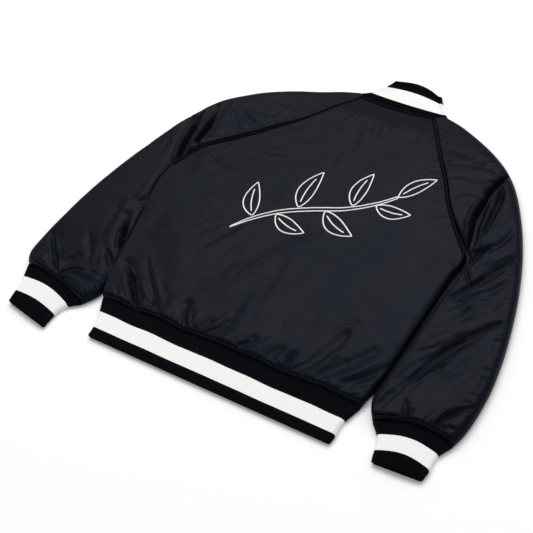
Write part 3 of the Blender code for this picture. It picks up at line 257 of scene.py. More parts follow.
# Hollow beside the right sleeve: share of the way up from the hem to past the armpit, depth and reach
# in millimetres.
VALLEY = np.array([(0.0, 0.0, 4.0), (0.25, 2.0, 6.0), (0.5, 3.0, 7.0), (0.66, 3.0, 7.0), (0.76, 2.0, 6.0),
                   (0.84, 2.0, 6.0), (1.0, 0.0, 4.0)])

# The crack itself: row of the body's outline, how far body and right sleeve lie further right than the
# solids do. The photo's crack lies there, and the solids keep their rounder sides.
CRACK_PLACE = {"body": np.array([(0.0, 0.0), (0.8, 0.0030), (3.0, 0.0045), (4.3, 0.0015), (5.2, -0.0015),
                                 (5.8, -0.0020), (6.5, 0.0), (15.0, 0.0)]),
               "sleeve": np.array([(0.0, 0.0), (0.8, 0.0040), (3.0, 0.0060), (4.5, 0.0050), (5.2, 0.0058),
                                   (5.8, 0.0066), (6.3, 0.0058), (7.0, 0.0030), (7.8, 0.0), (15.0, 0.0)])}
# Reach of the rounding on both sides of the crack, at rows of the body's outline.
CRACK_ROLL = {"body": np.array([(0.0, 0.0080), (4.5, 0.0075), (5.3, 0.0050), (6.5, 0.0050)]),
              "sleeve": np.array([(0.0, 0.0140), (1.0, 0.0200), (4.2, 0.0180), (5.2, 0.0120), (6.6, 0.0090)])}

# ---- sizes of the finer form ---------------------------------------------------------------------
CLOTH_STEP = 0.0022         # between rows of the fine grids
ROLL_COLUMNS = 13           # over the rounding at an edge
WELT_COLUMNS = 11           # past it, where welts and topstitching lie
WELT_REACH = 0.0088
BACK_COLUMNS = 244          # between those
SLEEVE_COLUMNS = 90
BODY_ROLL = 0.005           # reach of the rounding at the body's left side
INNER_ROLL = 0.024          # the left sleeve's beside the body
OUTER_ROLL = 0.020          # both sleeves' at their outer edges
LEFT_TOUCH = 0.0150         # body and left sleeve touch up to this height
LEFT_GAP = 0.0040           # the solids' gap between them
WIDEST_CRACK = 0.0070       # the solids' widest gap between body and right sleeve
SEAM_ROLL = 0.0030          # reach of the rounding beside the raglan seams
ROLL_FULLNESS = 0.8         # 1 is a quarter of a circle, less is fuller
SOFT_FLOOR = 0.0012         # how softly the deepest folds end on the layer below
UNDER_COLUMNS = 12          # across a lower layer
INNER_COLUMNS = 8           # across the inner face of an upper layer
EDGE_ANGLES = np.radians(np.linspace(6.0, 90.0, 10))        # round the edge of a lower layer
TURN_ANGLES = np.radians([30.0, 60.0, 90.0, 120.0, 150.0])  # round the edge of a rib
SEAM_ROWS = [0.0, 0.0004, 0.0009, 0.0015, 0.0022, 0.0030, 0.0038, 0.0046, 0.0053, 0.0060, 0.0068, 0.0078,
             0.0092, 0.0110]
WELT = 0.0056               # from a seam to its row of topstitching
GROOVE_DEPTH = 0.0016       # of a seam with a welt
CREST_HEIGHT = 0.0020       # of the welt's full band
STITCH_DEPTH = 0.0022       # of the dent along the topstitching
OUTER_SEAM_ROWS = (7.6, 16.0)       # where the right sleeve's outer seam shows on top
OUTER_SEAM_INSET = 0.0145   # and how far from the edge
RIB_PITCH = 0.0042          # from rib to rib of the knit. Real ones are 2.5 mm apart, too fine to show
RIB_RELIEF = 0.0016         # height of a knitted rib
WHITE_RELIEF = 0.35         # share of it on the white stripe, whose valleys are filled with light
RIB_POINTS = 8              # points across a knitted rib
HEM_CORNER = 0.022          # the hem's upper side starts this far inside its ends

# ---- place in the model's frame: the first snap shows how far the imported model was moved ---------
snap_low, snap_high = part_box("snap_1")
SHIFT_X = (snap_low.x + snap_high.x) / 2 - CENTRE_FRONT
SHIFT_Y = (snap_low.y + snap_high.y) / 2 - SNAP_FIRST_Y


# ---- small functions -----------------------------------------------------------------------------
def mix(a, b, t):
    return a + (b - a) * t


def ease(t):
    t = np.clip(t, 0.0, 1.0)
    return t * t * (3.0 - 2.0 * t)


def smooth(rows, u):
    """Rows of a table at positions u, on smooth curves through them."""
    rows = np.asarray(rows, float)
    u = np.atleast_1d(np.asarray(u, float))
    last = len(rows) - 1
    i = np.clip(np.floor(u).astype(int), 0, last - 1)
    t = (u - i)[:, None]
    a, b = rows[np.maximum(i - 1, 0)], rows[i]
    c, d = rows[i + 1], rows[np.minimum(i + 2, last)]
    return 0.5 * (2 * b + (c - a) * t + (2 * a - 5 * b + 4 * c - d) * t ** 2
                  + (3 * b - a - 3 * c + d) * t ** 3)


def cloud(x, y, size, seed):
    """Soft irregular values, about -1 to 1, with blobs of the given size."""
    n = 64
    grid = np.random.default_rng(seed).uniform(-1.0, 1.0, (n, n))
    u, v = np.asarray(x) / size + 31.7, np.asarray(y) / size + 17.3
    i, j = np.floor(u).astype(int), np.floor(v).astype(int)
    s, t = u - i, v - j
    s, t = s ** 3 * (s * (6 * s - 15) + 10), t ** 3 * (t * (6 * t - 15) + 10)
    i0, i1, j0, j1 = i % n, (i + 1) % n, j % n, (j + 1) % n
    return mix(mix(grid[i0, j0], grid[i1, j0], s), mix(grid[i0, j1], grid[i1, j1], s), t)


def turned(x, y, degrees, stretch):
    """Coordinates along and across a direction, the long way shortened by stretch."""
    a = math.radians(degrees)
    return (x * math.cos(a) + y * math.sin(a)) / stretch, -x * math.sin(a) + y * math.cos(a)


def unit(way):
    return way / np.hypot(way[..., 0], way[..., 1])[..., None]


def leftward(way):
    """A direction in plan turned a quarter to the left."""
    return np.stack([-way[..., 1], way[..., 0]], -1)


def lengths(line):
    """How far along a line each of its points lies."""
    return np.concatenate([[0.0], np.cumsum(np.hypot(*np.diff(line, axis=0).T))])


def spots_on(line, at):
    """Points of a line at distances along it."""
    run = lengths(line)
    return np.stack([np.interp(at, run, line[:, 0]), np.interp(at, run, line[:, 1])], -1)


def inset_line(line, distance):
    """A line of points moved sideways, to its left when distance is above 0."""
    return line + leftward(unit(np.gradient(line, axis=0))) * distance


def raised(plan, height):
    return np.concatenate([plan, height[..., None]], -1)


def dip(distance, width):
    return np.exp(-(distance / width) ** 2)


def clear_of(distance):
    """Less relief right beside a seam: 0.2 on it and 1 well past it."""
    return 1.0 - 0.8 * dip(distance, 0.006)


def fold_height(folds, x, y):
    total = np.zeros_like(x)
    for x0, y0, x1, y1, width, height in folds:
        run_x, run_y = x1 - x0, y1 - y0
        t = np.clip(((x - x0) * run_x + (y - y0) * run_y) / (run_x ** 2 + run_y ** 2), 0.0, 1.0)
        total += height * dip(np.hypot(x - x0 - run_x * t, y - y0 - run_y * t), width)
    return total


def crease_height(creases, x, y, seed):
    """Troughs that bow, taper and vary along their length, with a low ridge on one side."""
    total = np.zeros_like(x)
    sides = np.random.default_rng(seed).choice([-1.0, 1.0], len(creases))
    for (x0, y0, x1, y1, bow, width, depth), side in zip(creases, sides):
        run_x, run_y = x1 - x0, y1 - y0
        length = math.hypot(run_x, run_y)
        along = ((x - x0) * run_x + (y - y0) * run_y) / length ** 2
        t = np.clip(along, 0.0, 1.0)
        lateral = (-(x - x0) * run_y + (y - y0) * run_x) / length - 4 * bow * t * (1.0 - t)
        past = (along - t) * length
        taper = (0.15 + 0.85 * np.sin(math.pi * (0.06 + 0.88 * t)) ** 0.7) * dip(past, 1.2 * width)
        uneven = 1.0 + 0.35 * cloud(along * length, 0.0 * along + x0, 0.016, seed + 1)
        broad = width * (0.8 + 0.35 * np.sin(math.pi * t))
        shape = dip(lateral, broad) - 0.38 * dip(lateral * side - 1.9 * broad, 1.1 * broad)
        total -= depth * taper * uneven * shape
    return total


def line_distance(x, y, line):
    """Distance of points from a line of points, and how far along it they are."""
    best = np.full(x.shape, np.inf)
    along = np.zeros(x.shape)
    start = 0.0
    for a, b in zip(line, line[1:]):
        run = b - a
        length = float(np.hypot(*run))
        t = np.clip(((x - a[0]) * run[0] + (y - a[1]) * run[1]) / length ** 2, 0.0, 1.0)
        away = np.hypot(x - a[0] - run[0] * t, y - a[1] - run[1] * t)
        near = away < best
        best = np.where(near, away, best)
        along = np.where(near, start + t * length, along)
        start += length
    return best, along


def hem_rise(x):
    share = (x - BODY[0, 0]) / (BODY[0, 2] - BODY[0, 0])
    ends = np.clip(np.minimum(share, 1.0 - share) / WAVE_FADE, 0.0, 1.0)
    i = np.clip(np.searchsorted(HEM_WAVE[:, 0], x) - 1, 0, len(HEM_WAVE) - 2)
    t = (x - HEM_WAVE[i, 0]) / (HEM_WAVE[i + 1, 0] - HEM_WAVE[i, 0])
    return ends * mix(HEM_WAVE[i, 1], HEM_WAVE[i + 1, 1], ease(t))


def body_edge(row, side):
    both = smooth(BODY, row)
    return both[:, :2] if side < 0 else both[:, 2:]


def seam_share(row):
    return ease((row - ARMPIT_ROW) / ARMPIT_RISE)


def raglan_height(row):
    sewn = mix(NECK_TOP, RAGLAN_TOP, ease((NECK_ROW - row) / RAGLAN_FALL))
    return mix(RIM, sewn, seam_share(row))


def rows_along(point_at, last, step):
    """Row positions about step apart, closer at both seams."""
    u = np.linspace(0.0, last, 1200)
    run = lengths(point_at(u))
    near = np.array(SEAM_ROWS)
    far = run[-1] - near[::-1]
    count = int(round((far[0] - near[-1]) / step))
    middle = np.linspace(near[-1], far[0], count + 1)[1:-1]
    return np.interp(np.concatenate([near, middle, far]), run, u)


def join_chains(chain_a, chain_b):
    """Triangles between two rows of point numbers that have different counts."""
    faces = []
    a, b = 0, 0
    last_a, last_b = len(chain_a) - 1, len(chain_b) - 1
    while a < last_a or b < last_b:
        if b == last_b or (a < last_a and (a + 1) / last_a <= (b + 1) / last_b):
            faces.append((chain_a[a], chain_a[a + 1], chain_b[b]))
            a += 1
        else:
            faces.append((chain_a[a], chain_b[b + 1], chain_b[b]))
            b += 1
    return faces


def grid_faces(count_i, count_j, first=0):
    i, j = np.meshgrid(np.arange(count_i - 1), np.arange(count_j - 1), indexing="ij")
    a = (first + i * count_j + j).ravel()
    return np.stack([a, a + 1, a + count_j + 1, a + count_j], 1).tolist()


def ring_faces(rings, size, first=0, closed=False):
    """Faces of a tube of rings of points, with caps on its ends where it isn't closed."""
    a, k = np.meshgrid(np.arange(rings if closed else rings - 1), np.arange(size), indexing="ij")
    b, next_k = (a + 1) % rings, (k + 1) % size
    quads = np.stack([a * size + k, a * size + next_k, b * size + next_k, b * size + k], 2)
    faces = (quads.reshape(-1, 4) + first).tolist()
    if not closed:
        last = first + (rings - 1) * size
        faces += [list(range(first, first + size))[::-1], list(range(last, last + size))]
    return faces


def finish_mesh(name, points, faces, materials, slots=None, sharp=None):
    """A shown piece from points in the jacket's plan: closed, outward and smooth."""
    mesh = bpy.data.meshes.new(name)
    points = np.asarray(points, float) + np.array([SHIFT_X, SHIFT_Y, 0.0])
    mesh.from_pydata(points.tolist(), [], faces)
    for material in materials:
        mesh.materials.append(material)
    if slots is not None:
        mesh.polygons.foreach_set("material_index", np.asarray(slots, np.int32))
    mesh.update()
    if signed_volume(mesh) < 0:
        mesh.flip_normals()
    mesh.shade_smooth()
    if sharp:
        mesh.set_sharp_from_angle(angle=math.radians(sharp))
    piece = bpy.data.objects.new(name, mesh)
    bpy.context.scene.collection.objects.link(piece)
    return piece


def signed_volume(mesh):
    mesh.calc_loop_triangles()
    tri = np.zeros(len(mesh.loop_triangles) * 3, np.int32)
    mesh.loop_triangles.foreach_get("vertices", tri)
    co = np.zeros(len(mesh.vertices) * 3)
    mesh.vertices.foreach_get("co", co)
    p = co.reshape(-1, 3)[tri.reshape(-1, 3)]
    return float((p[:, 0] * np.cross(p[:, 1], p[:, 2])).sum())


def cloth_piece(name, outer, inner, material):
    """A closed cloth wall from grids of outer and inner points with the same rows."""
    rows, columns = outer.shape[:2]
    under = inner.shape[1]
    first = rows * columns
    faces = grid_faces(rows, columns)
    faces += [f[::-1] for f in grid_faces(rows, under, first)]
    for i in range(rows - 1):
        a, b = i * columns, first + i * under
        faces.append((a, a + columns, b + under, b))
        c, d = a + columns - 1, b + under - 1
        faces.append((c, d, d + under, c + columns))
    start_outer, start_inner = list(range(columns)), list(range(first, first + under))
    end_outer = [(rows - 1) * columns + j for j in range(columns)]
    end_inner = [first + (rows - 1) * under + j for j in range(under)]
    faces += [f[::-1] for f in join_chains(start_outer, start_inner)]
    faces += join_chains(end_outer, end_inner)
    points = np.concatenate([outer.reshape(-1, 3), inner.reshape(-1, 3)])
    return finish_mesh(name, points, faces, [material], sharp=50)


# ---- cloth grids ---------------------------------------------------------------------------------
def panel_places(edge_a, edge_b, bend):
    """A panel's width at each row, and what gives its points at distances from edge a."""
    run = edge_b - edge_a
    width = np.hypot(*run.T)

    def place(distance):
        s = distance / width[:, None]
        return edge_a[:, None] + run[:, None] * s[..., None] + bend(s)
    return width, place


def each_half(distance, values_a, values_b):
    """Edge a's values on its half of a grid, edge b's on the other."""
    is_a = np.arange(distance.shape[1])[None, :] < distance.shape[1] / 2
    return np.where(is_a, values_a[:, None], values_b[:, None])


def upper_grids(edge_a, edge_b, height_a, height_b, share_a, share_b, top, middle, rolls, bend, rise, tuck):
    """Outer and inner points of an upper panel, row by row from edge a to edge b."""
    width, place = panel_places(edge_a, edge_b, bend)
    roll_a, roll_b = (np.minimum(reach, WIDEST_ROLL * width)[:, None] for reach in rolls)
    angle = np.linspace(0.0, math.pi / 2, ROLL_COLUMNS)
    across = 1.0 - np.cos(angle).clip(0.0) ** ROLL_FULLNESS
    welt = np.arange(1, WELT_COLUMNS + 1) * WELT_REACH / WELT_COLUMNS
    welt = np.minimum(1.0, 0.12 * width[:, None] / WELT_REACH) * welt
    a, b = roll_a + welt, roll_b + welt
    flat = a[:, -1:] + (width[:, None] - a[:, -1:] - b[:, -1:]) * np.arange(1, middle) / middle
    distance = np.hstack([roll_a * across, a, flat, width[:, None] - b[:, ::-1],
                          width[:, None] - roll_b * across[::-1]])
    upward = np.sin(angle) ** ROLL_FULLNESS
    lift = np.concatenate([upward, np.ones(middle - 1 + 2 * WELT_COLUMNS), upward[::-1]])[None, :]
    plan = place(distance)
    height = mix(each_half(distance, height_a, height_b), top[:, None], lift)
    height = height + rise(plan[..., 0], plan[..., 1]) * lift
    above = height - mix(RIM, RIM + LEAST_WALL, lift)
    height += 0.5 * (np.sqrt(above ** 2 + (SOFT_FLOOR * lift) ** 2) - above)
    outer = raised(plan, height)

    inset_a, inset_b = (EDGE_WALL * (1.0 - share)[:, None] for share in (share_a, share_b))
    steps = np.arange(1, INNER_COLUMNS - 1) / (INNER_COLUMNS - 1)
    inside = np.hstack([inset_a, roll_a + inset_a, roll_a + (width[:, None] - roll_a - roll_b) * steps,
                        width[:, None] - roll_b - inset_b, width[:, None] - inset_b])
    plan = place(inside) + tuck[:, None]
    air = np.clip(top - UPPER_WALL - RIM, 0.0, AIR)[:, None] * np.ones(inside.shape)
    air[:, 0] = air[:, -1] = 0.0
    return outer, raised(plan, RIM + air)


def close_crack(edge, rows, side, share):
    """The lower layers of body and sleeve touch, so that no floor shows between them."""
    body = body_edge(np.linspace(0.0, ARMPIT_ROW, 60), side)
    sleeve = sleeve_edges(side, np.linspace(SLEEVE_LAST, SLEEVE_ARMPIT_ROW, 90))[0]
    gap = np.interp(edge[:, 1], sleeve[:, 1], sleeve[:, 0]) - np.interp(edge[:, 1], body[:, 1], body[:, 0])
    gap = side * np.clip(side * gap, 0.0, WIDEST_CRACK)
    edge[:, 0] += share * gap * ease((rows - 0.3) / 0.5) * (rows <= ARMPIT_ROW)
    return edge


def lower_grids(edge_a, edge_b, share_a, share_b, middle, bend, tuck):
    """Points of a lower panel: its underside on the surface and its flat upper side."""
    width, place = panel_places(edge_a, edge_b, bend)
    roll = np.minimum(LOWER_ROLL, 0.25 * width)[:, None]
    near = roll * (1.0 - np.cos(EDGE_ANGLES))
    flat = roll + (width[:, None] - 2 * roll) * np.arange(1, middle) / middle
    distance = np.hstack([near, flat, width[:, None] - near[:, ::-1]])
    drop = np.concatenate([1.0 - np.sin(EDGE_ANGLES), np.zeros(middle - 1), 1.0 - np.sin(EDGE_ANGLES)[::-1]])
    free = 1.0 - each_half(distance, share_a, share_b)
    outer = raised(place(distance), LOWER_WALL * drop[None, :] * free)
    inside = width[:, None] * np.arange(middle + 1) / middle
    plan = place(inside) + tuck[:, None]
    return outer, raised(plan, np.full(inside.shape, LOWER_WALL))


def end_tuck(count, forward_first, forward_last):
    """How far the inner points of the first and last rows lie back from their seams."""
    tuck = np.zeros((count, 2))
    tuck[0] = np.asarray(forward_first) * END_TUCK
    tuck[-1] = -np.asarray(forward_last) * END_TUCK
    return tuck


# ---- small creases of the satin ------------------------------------------------------------------
def satin_swell(x, y, direction, seed):
    """Soft, uneven swells of wadded satin at rest, longer along one direction."""
    u, v = turned(x, y, direction, 2.4)
    swell = 0.00055 * cloud(u, v, 0.050, seed) + 0.00030 * cloud(x, y, 0.026, seed + 1)
    small = 0.00011 * cloud(u, v, 0.0105, seed + 2) * ease(0.5 + 0.8 * cloud(x, y, 0.07, seed + 3))
    return swell + small


def welt_height(distance, along, seed):
    """A seam with a welt: a groove, a full band, the row of topstitching, and puckers past it."""
    pucker = cloud(along, distance * 0.25, 0.0058, seed) + 0.6 * cloud(along, 0.0 * along, 0.0125, seed + 1)
    band = -GROOVE_DEPTH * dip(distance, 0.0010) + CREST_HEIGHT * dip(distance - 0.5 * WELT, 0.0018)
    stitched = -STITCH_DEPTH * dip(distance - WELT, 0.0011)
    past = 0.00030 * pucker * dip(distance - 0.0095, 0.0060)
    return band + stitched + past


def plain_seam_height(distance, along, seed):
    """The side of a seam that has no welt: a groove and short puckers."""
    pucker = cloud(along, distance * 0.3, 0.0058, seed) + 0.5 * cloud(along, 0.0 * along, 0.014, seed + 1)
    return -0.0012 * dip(distance, 0.0010) + 0.00045 * pucker * dip(distance - 0.004, 0.0080)


def gathers(along, distance, spacing, reach, depth, seed):
    """Short gathers that run off a rib seam, uneven in length and depth."""
    lean = along + 0.35 * distance * cloud(along, 0.0 * along, 0.05, seed + 2)
    wave = cloud(lean, distance * 0.12, spacing, seed)
    length = reach * (1.0 + 0.6 * cloud(along, 0.0 * along, 0.023, seed + 1))
    return depth * (1.0 - 2.2 * np.abs(wave)) * np.exp(-(distance / length) ** 1.5)


def valley_height(x, y, share, spread):
    """The deep dark hollow between the body and the right sleeve, widest at the armpit."""
    crack = body_edge(np.linspace(0.6, 8.4, 60), 1)
    away, along = line_distance(x, y, crack)
    t = along / lengths(crack)[-1]
    strength = np.interp(t, VALLEY[:, 0], VALLEY[:, 1]) * (1.0 + 0.25 * cloud(along, 0.0 * along, 0.018, 121))
    reach = spread * np.interp(t, VALLEY[:, 0], VALLEY[:, 2])
    return -share * strength / 1000 * dip(away, reach / 1000)


def fine_creases(low, high, direction, count, seed):
    """A table of small creases strewn over a box of the plan, mostly along one direction."""
    draw = np.random.default_rng(seed)
    table = []
    for _ in range(count):
        x, y = draw.uniform(low, high)
        angle = math.radians(direction + draw.normal(0.0, 22.0))
        length = draw.uniform(0.018, 0.062)
        table.append((x, y, x + length * math.cos(angle), y + length * math.sin(angle),
                      *metres((draw.normal(0.0, 2.0), draw.uniform(1.8, 3.6), draw.uniform(0.15, 0.65)))))
    return table


# ---- the stitched sprig on the back --------------------------------------------------------------
SPRIG_CENTRE = np.array([0.008, 0.428])
SPRIG_TURN = 19.5           # degrees
SPRIG_REACH = 0.26          # all of it lies within this of its centre
THREAD_WIDTH = 0.0027
THREAD_RISE = 0.0009
THREAD_STEP = 0.0005        # between rings of a stitched line
THREAD_ROOT = 0.0008        # how far its foot goes into the cloth
STEM_POINTS = 80
# The stem: along, across and half width.
SPRIG_STEM = metres([(-190, -52, 0.6), (-150, -30, 3.0), (-95, -12, 3.8), (-35, -6, 4.0), (30, -4, 3.8),
                     (85, 8, 3.2), (126, 26, 2.2)])
# Leaves: where along the stem from 0 to 1, direction in degrees, length, width and bow in millimetres.
SPRIG_LEAVES = [
    (0.17, 74, 84, 33, 7), (0.30, -48, 78, 30, -7), (0.42, 66, 92, 36, 8), (0.56, -42, 86, 32, -8),
    (0.70, 62, 82, 32, 7), (0.83, -34, 72, 28, -6), (1.00, 30, 78, 30, 5)]
LEAF_STALK, TIP_STALK = 0.008, 0.004


def sprig_place(points):
    a = math.radians(SPRIG_TURN)
    turn_by = np.array([[math.cos(a), math.sin(a)], [-math.sin(a), math.cos(a)]])
    return np.asarray(points) @ turn_by + SPRIG_CENTRE


def sprig_lines():
    """Lines of the sprig in the jacket's plan: a double stem, outlined leaves and their ribs."""
    stem = smooth(SPRIG_STEM, np.linspace(0.0, len(SPRIG_STEM) - 1, STEM_POINTS))
    middle, half = stem[:, :2], stem[:, 2:3]
    lines = [np.concatenate([inset_line(middle, half), inset_line(middle, -half)[::-1]])]
    for at, degrees, length, width, bow in SPRIG_LEAVES:
        i = min(int(at * (STEM_POINTS - 1)), STEM_POINTS - 2)
        run = middle[i + 1] - middle[i]
        angle = math.atan2(run[1], run[0]) + math.radians(degrees if at < 1 else 8)
        forward = np.array([math.cos(angle), math.sin(angle)])
        aside = leftward(forward)
        base = middle[i] + forward * (LEAF_STALK if at < 1 else TIP_STALK)
        t = np.linspace(0.0, 1.0, 40)[:, None]
        centre = base + forward * t * length / 1000 + aside * 4 * t * (1.0 - t) * bow / 1000
        half = aside * np.sin(math.pi * t ** 0.85).clip(0.0) ** 0.85 * width / 2000
        lines.append(np.concatenate([centre + half, (centre - half)[-2::-1]]))
        lines.append(centre[5:32])
    return [sprig_place(line) for line in lines]


def sprig_pull(x, y):
    """The thread pulls the satin down along its lines and puckers it around them."""
    total = np.zeros_like(x)
    near = (np.abs(x - SPRIG_CENTRE[0]) < SPRIG_REACH) & (np.abs(y - SPRIG_CENTRE[1]) < SPRIG_REACH)
    px, py = x[near], y[near]
    distance = np.full(px.shape, np.inf)
    for line in sprig_lines():
        away, _ = line_distance(px, py, line[::4] if len(line) > 30 else line[::3])
        distance = np.minimum(distance, away)
    pucker = cloud(px, py, 0.0075, 71) + 0.5 * cloud(px, py, 0.013, 72)
    total[near] = -0.0004 * dip(distance, 0.0030) + 0.00035 * pucker * dip(distance - 0.004, 0.0085)
    return total


def height_under(tree, points):
    """Heights of a shown piece under points of the plan."""
    found = []
    for x, y in points:
        hit = tree.ray_cast(Vector((x + SHIFT_X, y + SHIFT_Y, 1.0)), Vector((0.0, 0.0, -1.0)))[0]
        found.append(hit.z if hit else np.nan)
    found = np.array(found)
    good = ~np.isnan(found)
    return np.interp(np.arange(len(found)), np.flatnonzero(good), found[good])


def even_line(line, step):
    whole = lengths(line)[-1]
    return spots_on(line, np.linspace(0.0, whole, max(2, int(round(whole / step)) + 1)))


def stitched_sprig(tree, material):
    """Satin stitch: each line is a low dome of threads side by side. Real threads are 0.4 mm apart,
    and each second ring of 0.5 mm stands higher here, so that the ridges still show."""
    points, faces = [], []
    for line in sprig_lines():
        line = even_line(line, THREAD_STEP)
        count = len(line)
        height = height_under(tree, line)
        height = np.convolve(np.pad(height, 4, mode="edge"), np.ones(9) / 9, mode="valid")
        aside = leftward(unit(np.gradient(line, axis=0)))
        order = np.arange(count)
        ends = np.sqrt(np.clip(np.minimum(order + 0.6, count - 0.4 - order) / 4.0, 0.0, 1.0))
        uneven = 1.0 + 0.07 * cloud(order * THREAD_STEP, 0.0 * order, 0.009, 75)
        ridge = (1.0 + 0.06 * (-1.0) ** order) * uneven * ends
        angles = np.radians([0.0, 30.0, 60.0, 90.0, 120.0, 150.0, 180.0])
        wide = (THREAD_WIDTH / 2) * ridge[:, None] * np.cos(angles)[None, :]
        tall = height[:, None] + THREAD_RISE * ridge[:, None] * np.sin(angles)[None, :]
        ring = raised(line[:, None] + aside[:, None] * wide[..., None], tall)
        ring = np.concatenate([ring, raised(line, height - THREAD_ROOT)[:, None]], 1)
        faces += ring_faces(count, ring.shape[1], len(points))
        points += ring.reshape(-1, 3).tolist()
    return finish_mesh("back_sprig_stitched", points, faces, [material])


STITCH_LENGTH, STITCH_STEP, STITCH_HALF = 0.0026, 0.0034, 0.00032
# One stitch of the topstitching: place along it, girth, and lift. Both of its ends go into the cloth.
STITCH_SHAPE = [(-0.5, 0.45, -0.00030), (-0.3, 1.0, 0.00004), (0.0, 1.1, 0.00012), (0.3, 1.0, 0.00004),
                (0.5, 0.45, -0.00030)]


def topstitches(name, runs, material):
    """Rows of single thread stitches: each run is a tree of the cloth under it and a line."""
    points, faces = [], []
    angles = np.arange(6) * math.pi / 3
    for tree, line in runs:
        middles = np.arange(STITCH_STEP, lengths(line)[-1] - STITCH_STEP / 2, STITCH_STEP)
        plan = spots_on(line, middles[:, None] + np.array(STITCH_SHAPE)[:, 0] * STITCH_LENGTH)
        height = height_under(tree, plan.reshape(-1, 2)).reshape(plan.shape[:2])
        aside = leftward(unit(plan[:, -1] - plan[:, 0]))
        for i in range(len(middles)):
            faces += ring_faces(len(STITCH_SHAPE), len(angles), len(points))
            for j, (_, girth, lift) in enumerate(STITCH_SHAPE):
                for angle in angles:
                    side = aside[i] * STITCH_HALF * girth * math.cos(angle)
                    points.append((*(plan[i, j] + side),
                                   height[i, j] + lift + STITCH_HALF * girth * math.sin(angle)))
    return finish_mesh(name, points, faces, [material])


def cloth_tree(piece):
    return BVHTree.FromObject(piece, bpy.context.evaluated_depsgraph_get())


# ---- the panels ----------------------------------------------------------------------------------
def raglan_line(side):
    return body_edge(np.linspace(ARMPIT_ROW, NECK_ROW, 73), side)


def back_panel(material):
    rows = rows_along(lambda u: body_edge(u, 1) * 0.5 + body_edge(u, -1) * 0.5, NECK_ROW, CLOTH_STEP)
    left, right = body_edge(rows, -1), body_edge(rows, 1)
    right[:, 0] += crack_shift(rows, "body")
    left[:, 0] -= left_touch(rows) * LEFT_GAP / 2 * (rows <= ARMPIT_ROW)
    left[rows > ARMPIT_ROW, 0] += SEAM_GAP
    right[rows > ARMPIT_ROW, 0] -= SEAM_GAP
    for edge in (left, right):
        edge[0, 1] += SIDE_GAP
        edge[-1, 1] -= SIDE_GAP
    height, share = raglan_height(rows), seam_share(rows)
    left_height = np.maximum(height, mix(RIM, LEFT_TOUCH, left_touch(rows)))
    hem = np.sin(math.pi / 2 * np.clip(rows / HEM_ROUND, 0.0, 1.0))
    neck = ease((NECK_ROW - rows) / NECK_ROUND)
    top = np.minimum(mix(HEM_TOP, BODY_TOP, hem), mix(NECK_TOP, BODY_TOP, neck))
    dips = ease(1.0 - (NECK_ROW - rows) / DIP_REACH)[:, None]
    waves = ease(1.0 - rows / WAVE_REACH)[:, None]

    def bend(s):
        x = mix(left[:, :1], right[:, :1], s)
        y = -NECK_DIP * np.sin(math.pi * s) * dips + WAVE_SHIFT * hem_rise(x) * waves
        return np.stack([np.zeros_like(s), y], 2)

    fade = (mix(SEAM_FOLD, 1.0, ease(rows / HEM_ROUND)) * ease(NECK_ROW - rows))[:, None]

    def rise(x, y):
        hem_away = np.maximum(y - BODY[0, 1] - WAVE_SHIFT * hem_rise(x) * waves, 0.0)
        neck_s = (x - left[-1, 0]) / (right[-1, 0] - left[-1, 0])
        neck_y = mix(left[-1, 1], right[-1, 1], neck_s)
        neck_s = np.clip(neck_s, 0.0, 1.0)
        neck_away = np.maximum(neck_y - NECK_DIP * np.sin(math.pi * neck_s) - y, 0.0)
        total = fold_height(BACK_FOLDS, x, y) * fade + hem_rise(x) * WAVE_HEIGHT * waves
        seam_clear = clear_of(hem_away)
        for side, seed in ((-1, 31), (1, 37)):
            away, along = line_distance(x, y, raglan_line(side))
            total += welt_height(away, along, seed)
            seam_clear = seam_clear * clear_of(away)
        strewn = fine_creases((-0.36, 0.09), (0.28, 0.68), 62.0, 150, 19)
        small = satin_swell(x, y, 57.0, 11) + crease_height(BACK_CREASES, x, y, 17)
        small = small + 0.5 * crease_height(strewn, x, y, 18)
        total += small * seam_clear * ease(NECK_ROW - rows)[:, None]
        total += sprig_pull(x, y) + valley_height(x, y, 0.7, 0.7)
        total += welt_height(hem_away, x, 41) + welt_height(neck_away, x, 43)
        past = np.maximum(hem_away - WELT, 0.0)
        total += gathers(x, past, 0.0080, 0.012, 0.0011, 47) * ease(hem_away / WELT)
        return total

    forward = (0.0, 1.0)
    rolls = [mix(reach, SEAM_ROLL, share) for reach in (BODY_ROLL, np.interp(rows, *CRACK_ROLL["body"].T))]
    outer, inner = upper_grids(left, right, left_height, height, share, share, top, BACK_COLUMNS, rolls,
                               bend, rise, end_tuck(len(rows), forward, forward))
    return cloth_piece("back_panel_satin", outer, inner, material)


def sleeve_edges(side, rows):
    seam = body_edge(NECK_ROW - np.arange(len(SHOULDER[side])), side)
    values = smooth(np.vstack([np.hstack([seam, SHOULDER[side]]), ARM[side]]), rows)
    sewn = rows <= SLEEVE_ARMPIT_ROW
    inner = np.where(sewn[:, None], body_edge(np.maximum(NECK_ROW - rows, 0.0), side), values[:, :2])
    inner[:, 0] += side * SEAM_GAP
    outer = values[:, 2:].copy()
    down = -leftward(unit(outer - inner)) * side
    for edge in (inner, outer):
        edge[0] += down[0] * SIDE_GAP
        edge[-1] -= down[-1] * SIDE_GAP
    share = np.where(sewn, seam_share(NECK_ROW - rows), 0.0)
    return inner, outer, share, down


def crack_shift(rows, part):
    return np.interp(rows, *CRACK_PLACE[part].T)


def left_touch(rows):
    """Where body and left sleeve touch: 1 along their shared edge, 0 at the hem and past the armpit."""
    return ease((rows - 0.15) / 0.9) * ease((ARMPIT_ROW + 1.4 - rows) / 1.6)


def hem_rows(edge, rows):
    """Rows of the body's outline that lie beside points of a sleeve's inner edge."""
    beside = np.interp(edge[:, 1], BODY[:ARMPIT_ROW + 1, 3], np.arange(ARMPIT_ROW + 1))
    return np.where(rows <= SLEEVE_ARMPIT_ROW, NECK_ROW - rows, beside)


